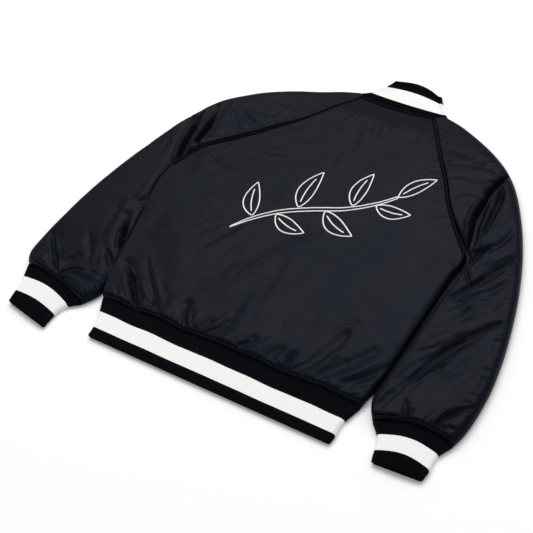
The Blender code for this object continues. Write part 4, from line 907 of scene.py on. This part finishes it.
def sleeve_rows(side, step):
    def middle(u):
        inner, outer, _, _ = sleeve_edges(side, u)
        return 0.5 * inner + 0.5 * outer
    return rows_along(middle, SLEEVE_LAST, step)


def cuff_bend(side, rows):
    """How a sleeve's rows bow towards the cuff's seam."""
    share = ease(1.0 - (SLEEVE_LAST - rows) / CUFF_REACH)[:, None]
    seam = CUFF_STRIPES[side][0]
    up = leftward(unit(seam[2:4] - seam[:2]))

    def bend(s):
        return (seam[4] * np.sin(math.pi * s) * share)[..., None] * up
    return bend


def cuff_seam_line(side):
    seam = CUFF_STRIPES[side][0]
    run = seam[2:4] - seam[:2]
    s = np.linspace(0.0, 1.0, 41)[:, None]
    return seam[:2] + run * s + leftward(unit(run)) * seam[4] * np.sin(math.pi * s)


def hem_seam_line(inset, count):
    """The seam of the hem, from inset inside its ends."""
    x = np.linspace(BODY[0, 0] + inset, BODY[0, 2] - inset, count)
    return np.stack([x, BODY[0, 1] + WAVE_SHIFT * hem_rise(x)], 1)


def outer_seam_line():
    """The right sleeve is turned a little, so that its outer seam shows on top near its edge."""
    _, outer, _, _ = sleeve_edges(1, np.linspace(OUTER_SEAM_ROWS[0], OUTER_SEAM_ROWS[1], 40))
    return inset_line(outer, -OUTER_SEAM_INSET)


def outer_seam_height(distance, along):
    pucker = cloud(along, distance * 0.3, 0.0085, 101) + 0.6 * cloud(along, 0.0 * along, 0.019, 102)
    return -0.0018 * dip(distance, 0.0014) + 0.0011 * pucker * dip(distance, 0.0085)


def sleeve_back(side, word, material):
    rows = sleeve_rows(side, CLOTH_STEP)
    inner_edge, outer_edge, share, down = sleeve_edges(side, rows)
    if side > 0:
        inner_edge[:, 0] += crack_shift(hem_rows(inner_edge, rows), "sleeve")
    beside = hem_rows(inner_edge, rows)
    height = raglan_height(NECK_ROW - rows)
    if side < 0:
        inner_edge[:, 0] += left_touch(beside) * LEFT_GAP / 2
        height = np.maximum(height, mix(RIM, LEFT_TOUCH, left_touch(beside)))
    shoulder = mix(NECK_TOP, SLEEVE_TOP, ease(rows / SHOULDER_RISE))
    from_cuff = (SLEEVE_LAST - rows) / CUFF_ROUND
    cuff = mix(CUFF_TOP, SLEEVE_TOP, np.sin(math.pi / 2 * np.clip(from_cuff, 0, 1)))
    top = np.maximum(np.minimum(shoulder, cuff), height)
    fade = (ease(rows) * mix(SEAM_FOLD, 1.0, ease(from_cuff)))[:, None]
    seed = 60 if side < 0 else 80
    raglan, cuff_line = raglan_line(side), cuff_seam_line(side)

    def rise(x, y):
        total = 0.55 * fold_height(SLEEVE_FOLDS[side], x, y) * fade
        away, along = line_distance(x, y, raglan)
        total += plain_seam_height(away, along, seed)
        cuff_away, cuff_along = line_distance(x, y, cuff_line)
        total += welt_height(cuff_away, cuff_along, seed + 3)
        past = np.maximum(cuff_away - WELT, 0.0)
        total += gathers(cuff_along, past, 0.0095, 0.016, 0.0010, seed + 6) * ease(cuff_away / WELT)
        small = 1.2 * satin_swell(x, y, 62.0 if side > 0 else 50.0, seed + 9)
        small += 1.25 * crease_height(SLEEVE_CREASES[side], x, y, seed + 15)
        corner = (-0.53, 0.07) if side < 0 else (0.09, 0.07)
        lie = 75.0 if side < 0 else 58.0
        strewn = fine_creases(corner, (corner[0] + 0.42, 0.70), lie, 170, seed + 17)
        small += crease_height(strewn, x, y, seed + 18)
        total += small * (clear_of(away) * clear_of(cuff_away)) * ease(rows)[:, None]
        if side > 0:
            total += valley_height(x, y, 0.8, 1.3)
            seam_away, seam_along = line_distance(x, y, outer_seam_line())
            total += outer_seam_height(seam_away, seam_along)
        return total

    reach = np.interp(beside, *CRACK_ROLL["sleeve"].T) if side > 0 else INNER_ROLL
    rolls = [mix(reach, SEAM_ROLL, share), np.full(len(rows), OUTER_ROLL)]
    outer, inner = upper_grids(inner_edge, outer_edge, height, np.full(len(rows), RIM), share,
                               np.zeros(len(rows)), top, SLEEVE_COLUMNS, rolls, cuff_bend(side, rows), rise,
                               end_tuck(len(rows), down[0], down[-1]))
    return cloth_piece(f"sleeve_{word}_back_satin", outer, inner, material)


def sleeve_front(side, word, material):
    rows = sleeve_rows(side, 3 * CLOTH_STEP)
    inner_edge, outer_edge, share, down = sleeve_edges(side, rows)
    close_crack(inner_edge, hem_rows(inner_edge, rows), side, -0.5)
    outer, inner = lower_grids(inner_edge, outer_edge, share, np.zeros(len(rows)), UNDER_COLUMNS,
                               cuff_bend(side, rows), end_tuck(len(rows), down[0], down[-1]))
    return cloth_piece(f"sleeve_{word}_front_satin", outer, inner, material)


def front_neck(side):
    middle = (CENTRE_FRONT + side * NECK_FLAT, FRONT_NECK_Y)
    return np.vstack([body_edge(NECK_ROW, side), FRONT_NECK[side], middle])


def front_grids(side, rows):
    """Points of a front: underside and upper side, from its side or raglan seam to the closure."""
    edge = close_crack(body_edge(rows, side), rows, side, 0.5)
    edge[rows > ARMPIT_ROW, 0] -= side * SEAM_GAP
    edge[0, 1] += SIDE_GAP
    edge[-1, 1] -= SIDE_GAP
    share = seam_share(rows)
    lowest = BODY[0, 1]
    up = (body_edge(rows, side)[:, 1] - lowest) / (body_edge(NECK_ROW, side)[0, 1] - lowest)
    strip_y = mix(lowest + SIDE_GAP, FRONT_NECK_Y, up)
    strip = np.stack([np.full(len(rows), CENTRE_FRONT + side * NECK_FLAT), strip_y], 1)
    width = np.hypot(*(strip - edge).T)
    neck = front_neck(side)
    scoop = ease(1.0 - (NECK_ROW - rows) / DIP_REACH)[:, None, None]

    def place(distance):
        s = distance / width[:, None]
        curve = smooth(neck, s.ravel() * (len(neck) - 1)).reshape(*s.shape, 2)
        bow = curve - mix(neck[0], neck[-1], s[..., None])
        return edge[:, None] + (strip - edge)[:, None] * s[..., None] + bow * scoop

    near = np.ones((len(rows), 1)) * LOWER_ROLL * (1.0 - np.cos(EDGE_ANGLES))
    steps = np.arange(1, UNDER_COLUMNS + 1) / UNDER_COLUMNS
    flat = LOWER_ROLL + (width[:, None] - LOWER_ROLL) * steps
    plan = place(np.hstack([near, flat]))
    drop = np.concatenate([1.0 - np.sin(EDGE_ANGLES), np.zeros(UNDER_COLUMNS)])
    low = LOWER_WALL * drop[None, :] * (1.0 - share)[:, None]
    high = np.full(low.shape, LOWER_WALL)
    strip_low = SEAM_GAP + SNAP_THICK + SEAM_GAP if side < 0 else LOWER_WALL - PLACKET_WALL
    lap = 2 * PLACKET_LAP
    for from_edge, a, b in ((lap + PLACKET_EDGE + PLACKET_STEP, 0.0, LOWER_WALL),
                            (lap + PLACKET_EDGE, strip_low, strip_low + PLACKET_WALL),
                            (PLACKET_LAP, strip_low, strip_low + PLACKET_WALL),
                            (0.0, strip_low, strip_low + PLACKET_WALL)):
        x = np.full(len(rows), CENTRE_FRONT + side * (from_edge - PLACKET_LAP))
        plan = np.concatenate([plan, np.stack([x, strip_y], 1)[:, None]], 1)
        low = np.hstack([low, np.full((len(rows), 1), a)])
        high = np.hstack([high, np.full((len(rows), 1), b)])
    return raised(plan, low), raised(plan, high)


def front_panel(side, word, material):
    rows = rows_along(lambda u: body_edge(u, side), NECK_ROW, 3 * CLOTH_STEP)
    outer, inner = front_grids(side, rows)
    return cloth_piece(f"front_{word}_panel_satin", outer, inner, material)


# ---- the ribs ------------------------------------------------------------------------------------
def stations(plan, height):
    plan = np.atleast_2d(plan)
    height = np.broadcast_to(np.asarray(height, float).reshape(-1, 1), (len(plan), 1))
    return np.concatenate([plan, height], 1)


def turn(point, outward, low, high, upwards):
    angles = TURN_ANGLES if upwards else TURN_ANGLES[::-1]
    radius = (high - low) / 2
    plan = point + outward * radius * np.sin(angles)[:, None]
    return stations(plan, mix(low, high, (1.0 - np.cos(angles)) / 2))


def stripe_ends(stripe):
    return stripe[:2].copy(), stripe[2:4].copy(), unit(stripe[:2] - stripe[2:4])


def resampled(rail, t, closed):
    return smooth(np.concatenate([rail[-1:], rail, rail[:2]]), t + 1.0) if closed else smooth(rail, t)


# Rows of a knitted band: the black stripe at its seam from 0 to 1, the white one to 2, the outer black one
# to 3. Then the rows between which it is white, and those that its plain inner face has.
RIB_ROWS = np.concatenate([[0.0, 0.02, 0.05, 0.1, 0.2, 0.4, 0.6, 0.8, 1.0], 1.0 + np.arange(1, 9) / 8,
                           2.0 + np.arange(1, 6) / 5])
WHITE_FIRST, WHITE_LAST = 8, 16
PLAIN_ROWS = [0, 4, 8, 12, 16, len(RIB_ROWS) - 1]
SEAM_DENT = 0.0012          # how far the rib is drawn in at its seam


def rib_piece(name, rails, wall, closed, materials):
    """A knitted band from the middle lines of its wall, one for each stripe edge, seam first."""
    rails = np.array(rails)
    loop = np.concatenate([rails, rails[:, :1]], 1) if closed else rails
    steps = np.linalg.norm(np.diff(loop, axis=1), axis=2).max(0)
    run = np.concatenate([[0.0], np.cumsum(steps)])
    ribs = int(round(run[-1] / RIB_PITCH))
    count = ribs * RIB_POINTS + (0 if closed else 1)
    share = np.arange(count) / (ribs * RIB_POINTS)
    t = np.interp(share * run[-1], run, np.arange(len(run)))
    fine = np.stack([resampled(rail, t, closed) for rail in rails])
    centre = np.stack([smooth(fine[:, j], RIB_ROWS) for j in range(count)], 1)
    if closed:
        along = np.roll(centre, -1, 1) - np.roll(centre, 1, 1)
    else:
        along = np.gradient(centre, axis=1)
    leaving = np.gradient(centre, axis=0)
    normal = np.cross(along, leaving)
    normal /= np.linalg.norm(normal, axis=2)[..., None]
    highest = np.unravel_index(np.argmax(centre[4, :, 2]), (count,))[0]
    if normal[4, highest, 2] < 0:
        normal = -normal
    ribbed = RIB_RELIEF * np.abs(np.cos(math.pi * share * ribs)) ** 0.8
    from_seam = np.linalg.norm(centre - centre[:1], axis=2)
    relief = np.interp(RIB_ROWS, [0.9, 1.0, 2.0, 2.1], [1.0, WHITE_RELIEF, WHITE_RELIEF, 1.0])
    half = wall / 2 + relief[:, None] * (ribbed[None, :] - RIB_RELIEF / 2)
    half = half - SEAM_DENT * dip(from_seam, 0.0013)
    outer = centre + normal * half[..., None]
    inside = centre[PLAIN_ROWS] - normal[PLAIN_ROWS] * wall / 2
    out_way = leaving[-1] / np.linalg.norm(leaving[-1], axis=1)[:, None]
    tips = []
    for angle in TURN_ANGLES:
        around = math.cos(angle) * normal[-1] + 0.9 * math.sin(angle) * out_way
        reach = wall / 2 + (ribbed[:, None] - RIB_RELIEF / 2) * math.cos(angle / 2)
        tips.append(centre[-1] + around * reach)
    ring = np.concatenate([outer, np.array(tips), inside[::-1]], 0).transpose(1, 0, 2)
    ring[..., 2] = np.maximum(ring[..., 2], 0.0)
    k = np.arange(ring.shape[1])
    # The inner face runs back to the seam, so its white faces are the second and the third.
    first_inside = len(RIB_ROWS) + len(tips)
    white = (k >= WHITE_FIRST) & (k < WHITE_LAST) | (k >= first_inside + 1) & (k < first_inside + 3)
    slots = white.astype(int).tolist() * (count if closed else count - 1) + ([] if closed else [0, 0])
    faces = ring_faces(count, len(k), 0, closed)
    return finish_mesh(name, ring.reshape(-1, 3), faces, materials, slots, sharp=60)


def hem_rib(materials):
    low = RIB_WALL / 2
    last = len(HEM_STRIPES) - 1
    shares = np.linspace(0.0, 1.0, 12)[:, None]
    x = np.linspace(HEM_STRIPES[0, 0] + HEM_CORNER, HEM_STRIPES[0, 2] - HEM_CORNER, 90)
    rails = []
    for k, stripe in enumerate(HEM_STRIPES):
        high = mix(HEM_TOP - HEM_STEP, RIB_END_TOP, k / last) - RIB_WALL / 2
        inset = (high - low) / 2 + RIB_WALL / 2
        left, right, out = stripe_ends(stripe)
        left -= out * inset
        right += out * inset
        if k == 0:
            left[1] -= SIDE_GAP
            right[1] -= SIDE_GAP
        centre = mix(left, right, (CENTRE_FRONT - left[0]) / (right[0] - left[0]))
        gap = np.array([SIDE_GAP, 0.0])
        share = (x - HEM_STRIPES[0, 0]) / (HEM_STRIPES[0, 2] - HEM_STRIPES[0, 0])
        rise = hem_rise(x) * (1.0 - k / last) ** 2
        over = np.stack([mix(stripe[0], stripe[2], share), mix(left[1], right[1], share) + WAVE_SHIFT * rise,
                         high + WAVE_HEIGHT * RIB_WAVE * rise], 1)
        rails.append(np.concatenate([
            stations(mix(centre - gap, left, shares), low), turn(left, out, low, high, True),
            stations(left, high), over, stations(right, high), turn(right, -out, low, high, False),
            stations(mix(centre + gap, right, shares[::-1]), low)]))
    return rib_piece("hem_rib_knit", rails, RIB_WALL, False, materials)


def cuff_rib(side, word, materials):
    low, high = CUFF_WALL / 2, CUFF_SIDE - CUFF_WALL / 2
    radius = (high - low) / 2
    inset = radius + CUFF_WALL / 2
    under = np.linspace(1.0, 0.0, 13)
    over = np.linspace(0.0, 1.0, 17)
    share = np.concatenate([under, np.zeros(5), over, np.ones(5)])
    angle = np.concatenate([np.zeros(13), TURN_ANGLES, np.full(17, math.pi), TURN_ANGLES[::-1]])
    rails = []
    for k, stripe in enumerate(CUFF_STRIPES[side]):
        left, right, out = stripe_ends(stripe)
        width = np.hypot(*(right - left))
        up = -leftward(out)
        bulge = radius * np.sin(angle) * np.where(share > 0.5, 1.0, -1.0)
        s = (mix(inset, width - inset, share) + bulge) / width
        offset = stripe[4] * np.sin(math.pi * s) - (SIDE_GAP if k == 0 else 0.0)
        plan = mix(left, right, s[:, None]) + up * offset[:, None]
        height = mix(low, high, (1.0 - np.cos(angle)) / 2)
        height += np.where(angle == math.pi, CUFF_ARCH * np.sin(math.pi * share), 0.0)
        rails.append(raised(plan, height))
    return rib_piece(f"cuff_{word}_knit", rails, CUFF_WALL, True, materials)


def collar_rib(materials):
    low = RIB_WALL / 2
    tops = np.array([0.02, 0.15, 0.3, 0.45, 0.6, 0.72, 0.86, 0.98])
    neck_left, neck_right = body_edge(NECK_ROW, -1)[0], body_edge(NECK_ROW, 1)[0]
    last = len(COLLAR_STRIPES) - 1
    slant = COLLAR_STRIPES[-1] - COLLAR_STRIPES[0]
    fronts = {}
    for side in (-1, 1):
        _, inner = front_grids(side, np.array([0.0, float(NECK_ROW)]))
        flat = inner[-1, :, :2]
        flat = flat[(flat[:, 0] - CENTRE_FRONT) * side > -1e-6]
        clear = leftward(unit(np.gradient(flat, axis=0))) * -side * SEAM_GAP
        share = np.arange(len(flat)) / (len(flat) - 1)
        keep = np.concatenate([np.arange(0, len(flat) - 1, 2), [len(flat) - 1]])
        fronts[side] = (flat + clear)[keep], share[keep]
    rails = []
    for k, stripe in enumerate(COLLAR_STRIPES):
        high = mix(NECK_TOP - COLLAR_STEP, RIB_END_TOP, k / last) - RIB_WALL / 2
        inset = (high - low) / 2 + RIB_WALL / 2
        left, right, _ = stripe_ends(stripe)
        if k == 0:
            out_left, out_right = unit(SHOULDER[-1][0] - neck_left), unit(SHOULDER[1][0] - neck_right)
            left -= leftward(out_left) * SEAM_GAP
            right += leftward(out_right) * SEAM_GAP
        else:
            out_left, out_right = leftward(unit(slant[:2])), -leftward(unit(slant[2:4]))
        left -= out_left * inset
        right -= out_right * inset
        parts = {}
        for side, (spots, share) in fronts.items():
            lean = np.array([-side * FRONT_COLLAR_LEAN, 1.0])
            inward = unit(mix(lean, np.array([0.0, 1.0]), ease(share)[:, None]))
            plan = spots + inward * FRONT_COLLAR_HEIGHT * FRONT_COLLAR_SHARES[k]
            plan[-1, 0] = CENTRE_FRONT + side * SIDE_GAP
            parts[side] = stations(plan, low)
        if k == 0:
            over = mix(neck_left, neck_right, tops[:, None])
            over[:, 1] += SIDE_GAP - NECK_DIP * np.sin(math.pi * tops)
        else:
            up = leftward(unit(right - left))
            over = left + (right - left) * tops[:, None] + up * (stripe[4] * np.sin(math.pi * tops))[:, None]
        rails.append(np.concatenate([
            parts[-1][::-1], stations(left, low), turn(left, out_left, low, high, True),
            stations(left, high), stations(over, high), stations(right, high),
            turn(right, out_right, low, high, False), stations(right, low), parts[1]]))
    return rib_piece("collar_rib_knit", rails, RIB_WALL, False, materials)


# ---- materials -----------------------------------------------------------------------------------
def colour(code):
    """An sRGB hex colour as linear values."""
    parts = [int(code[i:i + 2], 16) / 255 for i in (1, 3, 5)]
    return tuple(c / 12.92 if c <= 0.04045 else ((c + 0.055) / 1.055) ** 2.4 for c in parts) + (1.0,)


def node(tree, kind, settings=None, **links):
    """Adds a node. settings are its properties and socket values, links name what feeds its sockets."""
    made = tree.nodes.new(kind)
    for key, value in (settings or {}).items():
        if key in made.inputs:
            made.inputs[key].default_value = value
        else:
            setattr(made, key, value)
    for key, source in links.items():
        tree.links.new(source, made.inputs[key.replace("_", " ")])
    return made


def new_material(name, **settings):
    material = bpy.data.materials.new(name)
    material.use_nodes = True
    tree = material.node_tree
    shader = tree.nodes["Principled BSDF"]
    for key, value in settings.items():
        shader.inputs[key.replace("_", " ")].default_value = value
    place = node(tree, "ShaderNodeTexCoord").outputs["Object"]
    return material, tree, shader, place


def satin_material():
    """Black polyester satin over wadding: a closely woven face of floats, smooth and softly glossy."""
    material, tree, shader, place = new_material(
        "black_polyester_satin_woven", Specular_IOR_Level=0.058, Specular_Tint=(0.79, 0.845, 1.0, 1.0))
    blotch = node(tree, "ShaderNodeTexNoise", {"Scale": 9.0, "Detail": 3.0, "Roughness": 0.55}, Vector=place)
    ramp = node(tree, "ShaderNodeValToRGB", Fac=blotch.outputs["Fac"])
    for stop, position, code in zip(ramp.color_ramp.elements, (0.35, 0.68), ("#090c13", "#0c1018")):
        stop.position, stop.color = position, colour(code)
    tree.links.new(ramp.outputs["Color"], shader.inputs["Base Color"])
    rough = node(tree, "ShaderNodeMapRange", {"From Min": 0.3, "From Max": 0.7, "To Min": 0.34,
                                              "To Max": 0.42}, Value=blotch.outputs["Fac"])
    tree.links.new(rough.outputs["Result"], shader.inputs["Roughness"])
    # Sharp little folds of thin satin, 70 mm long and 20 mm apart, along the way that the big ones run.
    lay = node(tree, "ShaderNodeMapping", {"Rotation": (0.0, 0.0, -1.03), "Scale": (15.0, 48.0, 48.0)},
               Vector=place)
    fold = node(tree, "ShaderNodeTexNoise", {"noise_type": "RIDGED_MULTIFRACTAL", "Scale": 1.0, "Detail": 3.0,
                                             "Roughness": 0.4}, Vector=lay.outputs["Vector"])
    folded = node(tree, "ShaderNodeBump", {"Strength": 0.35, "Distance": 0.0012}, Height=fold.outputs["Fac"])
    # Fine gathers that run off the rib seams, about 7 mm apart, with sharper edges than the mesh has.
    along, away = [node(tree, "ShaderNodeAttribute", {"attribute_name": name}).outputs["Fac"]
                   for name in ("along_rib", "from_rib")]
    beside = node(tree, "ShaderNodeCombineXYZ", X=along, Y=away)
    beside = node(tree, "ShaderNodeMapping", {"Scale": (150.0, 26.0, 1.0)}, Vector=beside.outputs["Vector"])
    gather = node(tree, "ShaderNodeTexNoise", {"noise_type": "RIDGED_MULTIFRACTAL", "Scale": 1.0, "Detail": 2.0,
                                               "Distortion": 0.6}, Vector=beside.outputs["Vector"])
    relief = gather.outputs["Fac"]
    for near, far, start, end in ((0.004, 0.008, 0.0, 1.0), (0.008, 0.034, 1.0, 0.0)):
        share = node(tree, "ShaderNodeMapRange", {"interpolation_type": "SMOOTHSTEP", "From Min": near,
                                                  "From Max": far, "To Min": start, "To Max": end}, Value=away)
        product = node(tree, "ShaderNodeMath", {"operation": "MULTIPLY"})
        tree.links.new(relief, product.inputs[0])
        tree.links.new(share.outputs["Result"], product.inputs[1])
        relief = product.outputs["Value"]
    gathered = node(tree, "ShaderNodeBump", {"Strength": 0.8, "Distance": 0.0011}, Height=relief,
                    Normal=folded.outputs["Normal"])
    # The soft crumple of wadding under the satin, 12 mm from dent to dent.
    dent = node(tree, "ShaderNodeTexNoise", {"Scale": 80.0, "Detail": 3.0, "Roughness": 0.6}, Vector=place)
    crumpled = node(tree, "ShaderNodeBump", {"Strength": 0.4, "Distance": 0.0004}, Height=dent.outputs["Fac"],
                    Normal=gathered.outputs["Normal"])
    # Threads are 0.15 mm apart, too fine to show, so the weave is drawn 0.8 mm wide and 2.5 mm long.
    stretch = node(tree, "ShaderNodeMapping", {"Scale": (1250.0, 400.0, 400.0)}, Vector=place)
    weave = node(tree, "ShaderNodeTexNoise", {"Scale": 1.0, "Detail": 1.0}, Vector=stretch.outputs["Vector"])
    woven = node(tree, "ShaderNodeBump", {"Strength": 0.2, "Distance": 0.00006}, Height=weave.outputs["Fac"],
                 Normal=crumpled.outputs["Normal"])
    tree.links.new(woven.outputs["Normal"], shader.inputs["Normal"])
    return material


def yarn_material(name, dark, light, stops, fibres, strength, depth, **settings):
    """Spun yarn: lighter and darker fibres so many to a metre, which also stand up by a depth."""
    material, tree, shader, place = new_material(name, **settings)
    fibre = node(tree, "ShaderNodeTexNoise", {"Scale": fibres, "Detail": 2.0}, Vector=place)
    ramp = node(tree, "ShaderNodeValToRGB", Fac=fibre.outputs["Fac"])
    for stop, position, code in zip(ramp.color_ramp.elements, stops, (dark, light)):
        stop.position, stop.color = position, colour(code)
    tree.links.new(ramp.outputs["Color"], shader.inputs["Base Color"])
    fuzz = node(tree, "ShaderNodeBump", {"Strength": strength, "Distance": depth}, Height=fibre.outputs["Fac"])
    tree.links.new(fuzz.outputs["Normal"], shader.inputs["Normal"])
    return material


def rib_material(name, dark, light, gloss):
    """Acrylic rib knit: matt and slightly hairy. The mesh has its ribs, 4.2 mm apart for 2.5 mm."""
    return yarn_material(name, dark, light, (0.3, 0.7), 420.0, 0.6, 0.0003, Roughness=0.9,
                         Specular_IOR_Level=gloss, Sheen_Weight=0.0)


def thread_material(name, dark, light, gloss):
    """Twisted filament thread: close fine fibres with a soft shine."""
    return yarn_material(name, dark, light, (0.35, 0.65), 900.0, 0.5, 0.0002, Roughness=0.5,
                         Specular_IOR_Level=gloss)


def snap_material():
    """Black enamelled brass snap cap: smooth and glossy with faint wear."""
    material, tree, shader, place = new_material("black_enamelled_snap_cap", Metallic=0.6)
    wear = node(tree, "ShaderNodeTexNoise", {"Scale": 600.0, "Detail": 2.0}, Vector=place)
    ramp = node(tree, "ShaderNodeValToRGB", Fac=wear.outputs["Fac"])
    for stop, code in zip(ramp.color_ramp.elements, ("#0c0c0e", "#1a1a1d")):
        stop.color = colour(code)
    tree.links.new(ramp.outputs["Color"], shader.inputs["Base Color"])
    rough = node(tree, "ShaderNodeMapRange", {"To Min": 0.22, "To Max": 0.42}, Value=wear.outputs["Fac"])
    tree.links.new(rough.outputs["Result"], shader.inputs["Roughness"])
    return material


# ---- camera, floor and lights --------------------------------------------------------------------
# The camera as worked out from the photo: its lens, its place and the ways of its right, up and back.
LENS, SENSOR_WIDTH = 84.893, 36.0
CAMERA_PLACE = (1.22220811, -1.05689379, 1.73965724)
CAMERA_RIGHT = (0.79558689, 0.54224174, -0.2702136)
CAMERA_UP = (-0.29358478, 0.73521094, 0.6109606)
CAMERA_BACK = (0.52995233, -0.40674164, 0.74411811)
FLOOR_REACH = 6.0
BACKDROP_STRENGTH = 0.51


def make_camera():
    """At the photograph's angle: above the right sleeve's cuff side, tilted."""
    data = bpy.data.cameras.new("camera")
    data.lens, data.sensor_width = LENS, SENSOR_WIDTH
    camera = bpy.data.objects.new("camera", data)
    axes = Matrix([Vector(way) for way in (CAMERA_RIGHT, CAMERA_UP, CAMERA_BACK)])
    camera.matrix_world = Matrix.Translation(CAMERA_PLACE) @ axes.transposed().to_4x4()
    bpy.context.scene.collection.objects.link(camera)
    bpy.context.scene.camera = camera


def make_floor():
    mesh = bpy.data.meshes.new("floor")
    corners = [(-FLOOR_REACH, -FLOOR_REACH), (FLOOR_REACH, -FLOOR_REACH), (FLOOR_REACH, FLOOR_REACH),
               (-FLOOR_REACH, FLOOR_REACH)]
    mesh.from_pydata([(x, y, 0.0) for x, y in corners], [], [(0, 1, 2, 3)])
    material, _, shader, _ = new_material("white_paper_floor", Roughness=0.9, Specular_IOR_Level=0.1)
    shader.inputs["Base Color"].default_value = colour("#fcfcfc")
    mesh.materials.append(material)
    floor = bpy.data.objects.new("floor", mesh)
    bpy.context.scene.collection.objects.link(floor)


def area_light(name, place, size, power):
    """A softbox aimed at the jacket's middle. Its power is in watts."""
    data = bpy.data.lights.new(name, "AREA")
    data.shape, data.size, data.size_y, data.energy = "RECTANGLE", size[0], size[1], power
    light = bpy.data.objects.new(name, data)
    light.location = place
    light.rotation_euler = (-Vector(place)).to_track_quat("-Z", "Y").to_euler()
    bpy.context.scene.collection.objects.link(light)


def make_lights():
    world = bpy.data.worlds.new("studio")
    bpy.context.scene.world = world
    world.use_nodes = True
    backdrop = world.node_tree.nodes["Background"]
    backdrop.inputs["Color"].default_value = (1.0, 1.0, 1.0, 1.0)
    backdrop.inputs["Strength"].default_value = BACKDROP_STRENGTH
    area_light("softbox_left", (-1.75, 2.7, 4.9), (4.3, 3.0), 200.0)
    area_light("softbox_top", (1.9, 3.3, 4.6), (4.4, 3.4), 80.0)
    bpy.context.scene.view_settings.view_transform = "Standard"


# ---- put it together -----------------------------------------------------------------------------
make_camera()
make_floor()
make_lights()
satin = satin_material()
ribs = [rib_material("black_rib_knit_acrylic", "#040509", "#0b0c12", 0.06),
        rib_material("white_rib_knit_acrylic", "#ebeae8", "#f3f2f0", 0.25)]
white_thread = thread_material("white_rayon_embroidery_thread", "#e4e4e2", "#f2f2f1", 0.4)
black_thread = thread_material("black_polyester_sewing_thread", "#0b0c10", "#15171c", 0.15)
snap = snap_material()

made = {
    "back_panel": back_panel(satin),
    "front_left_panel": front_panel(-1, "left", satin),
    "front_right_panel": front_panel(1, "right", satin),
    "sleeve_left_back": sleeve_back(-1, "left", satin),
    "sleeve_left_front": sleeve_front(-1, "left", satin),
    "sleeve_right_back": sleeve_back(1, "right", satin),
    "sleeve_right_front": sleeve_front(1, "right", satin),
    "hem_rib": hem_rib(ribs),
    "collar_rib": collar_rib(ribs),
    "cuff_left": cuff_rib(-1, "left", ribs),
    "cuff_right": cuff_rib(1, "right", ribs),
}
for cad_node, piece in made.items():
    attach(piece, "root")
    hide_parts(cad_node)
for name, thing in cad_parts.items():
    if name.startswith("snap_"):
        thing.data.materials.clear()
        thing.data.materials.append(snap)


# ---- where the cloth is gathered -----------------------------------------------------------------
def mark_gathers(piece, line):
    """Keeps on each point how far it lies from the rib seam, and where along it, for the satin's gathers."""
    spots = np.zeros(len(piece.data.vertices) * 3)
    piece.data.vertices.foreach_get("co", spots)
    x, y, _ = spots.reshape(-1, 3).T
    away, along = line_distance(x - SHIFT_X, y - SHIFT_Y, line)
    for name, values in (("from_rib", away), ("along_rib", along)):
        piece.data.attributes.new(name, "FLOAT", "POINT").data.foreach_set("value", values)


mark_gathers(made["back_panel"], hem_seam_line(0.0, 70))
for side, word in ((-1, "left"), (1, "right")):
    mark_gathers(made[f"sleeve_{word}_back"], cuff_seam_line(side))


# ---- stitches on the finished cloth --------------------------------------------------------------
def neck_line():
    left, right = body_edge(NECK_ROW, -1)[0], body_edge(NECK_ROW, 1)[0]
    s = np.linspace(0.03, 0.97, 40)[:, None]
    return mix(left, right, s) - np.array([[0.0, NECK_DIP]]) * np.sin(math.pi * s)


back_tree = cloth_tree(made["back_panel"])
runs = [(back_tree, line) for line in (
    inset_line(raglan_line(-1)[6:-2], -WELT), inset_line(raglan_line(1)[6:-2], WELT),
    hem_seam_line(0.012, 160) + np.array([0.0, WELT]), inset_line(neck_line(), -WELT))]
for side, word in ((-1, "left"), (1, "right")):
    runs.append((cloth_tree(made[f"sleeve_{word}_back"]), inset_line(cuff_seam_line(side)[3:-3], WELT)))
extras = [stitched_sprig(back_tree, white_thread), topstitches("topstitches_back", runs, black_thread)]
for piece in extras:
    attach(piece, "root")
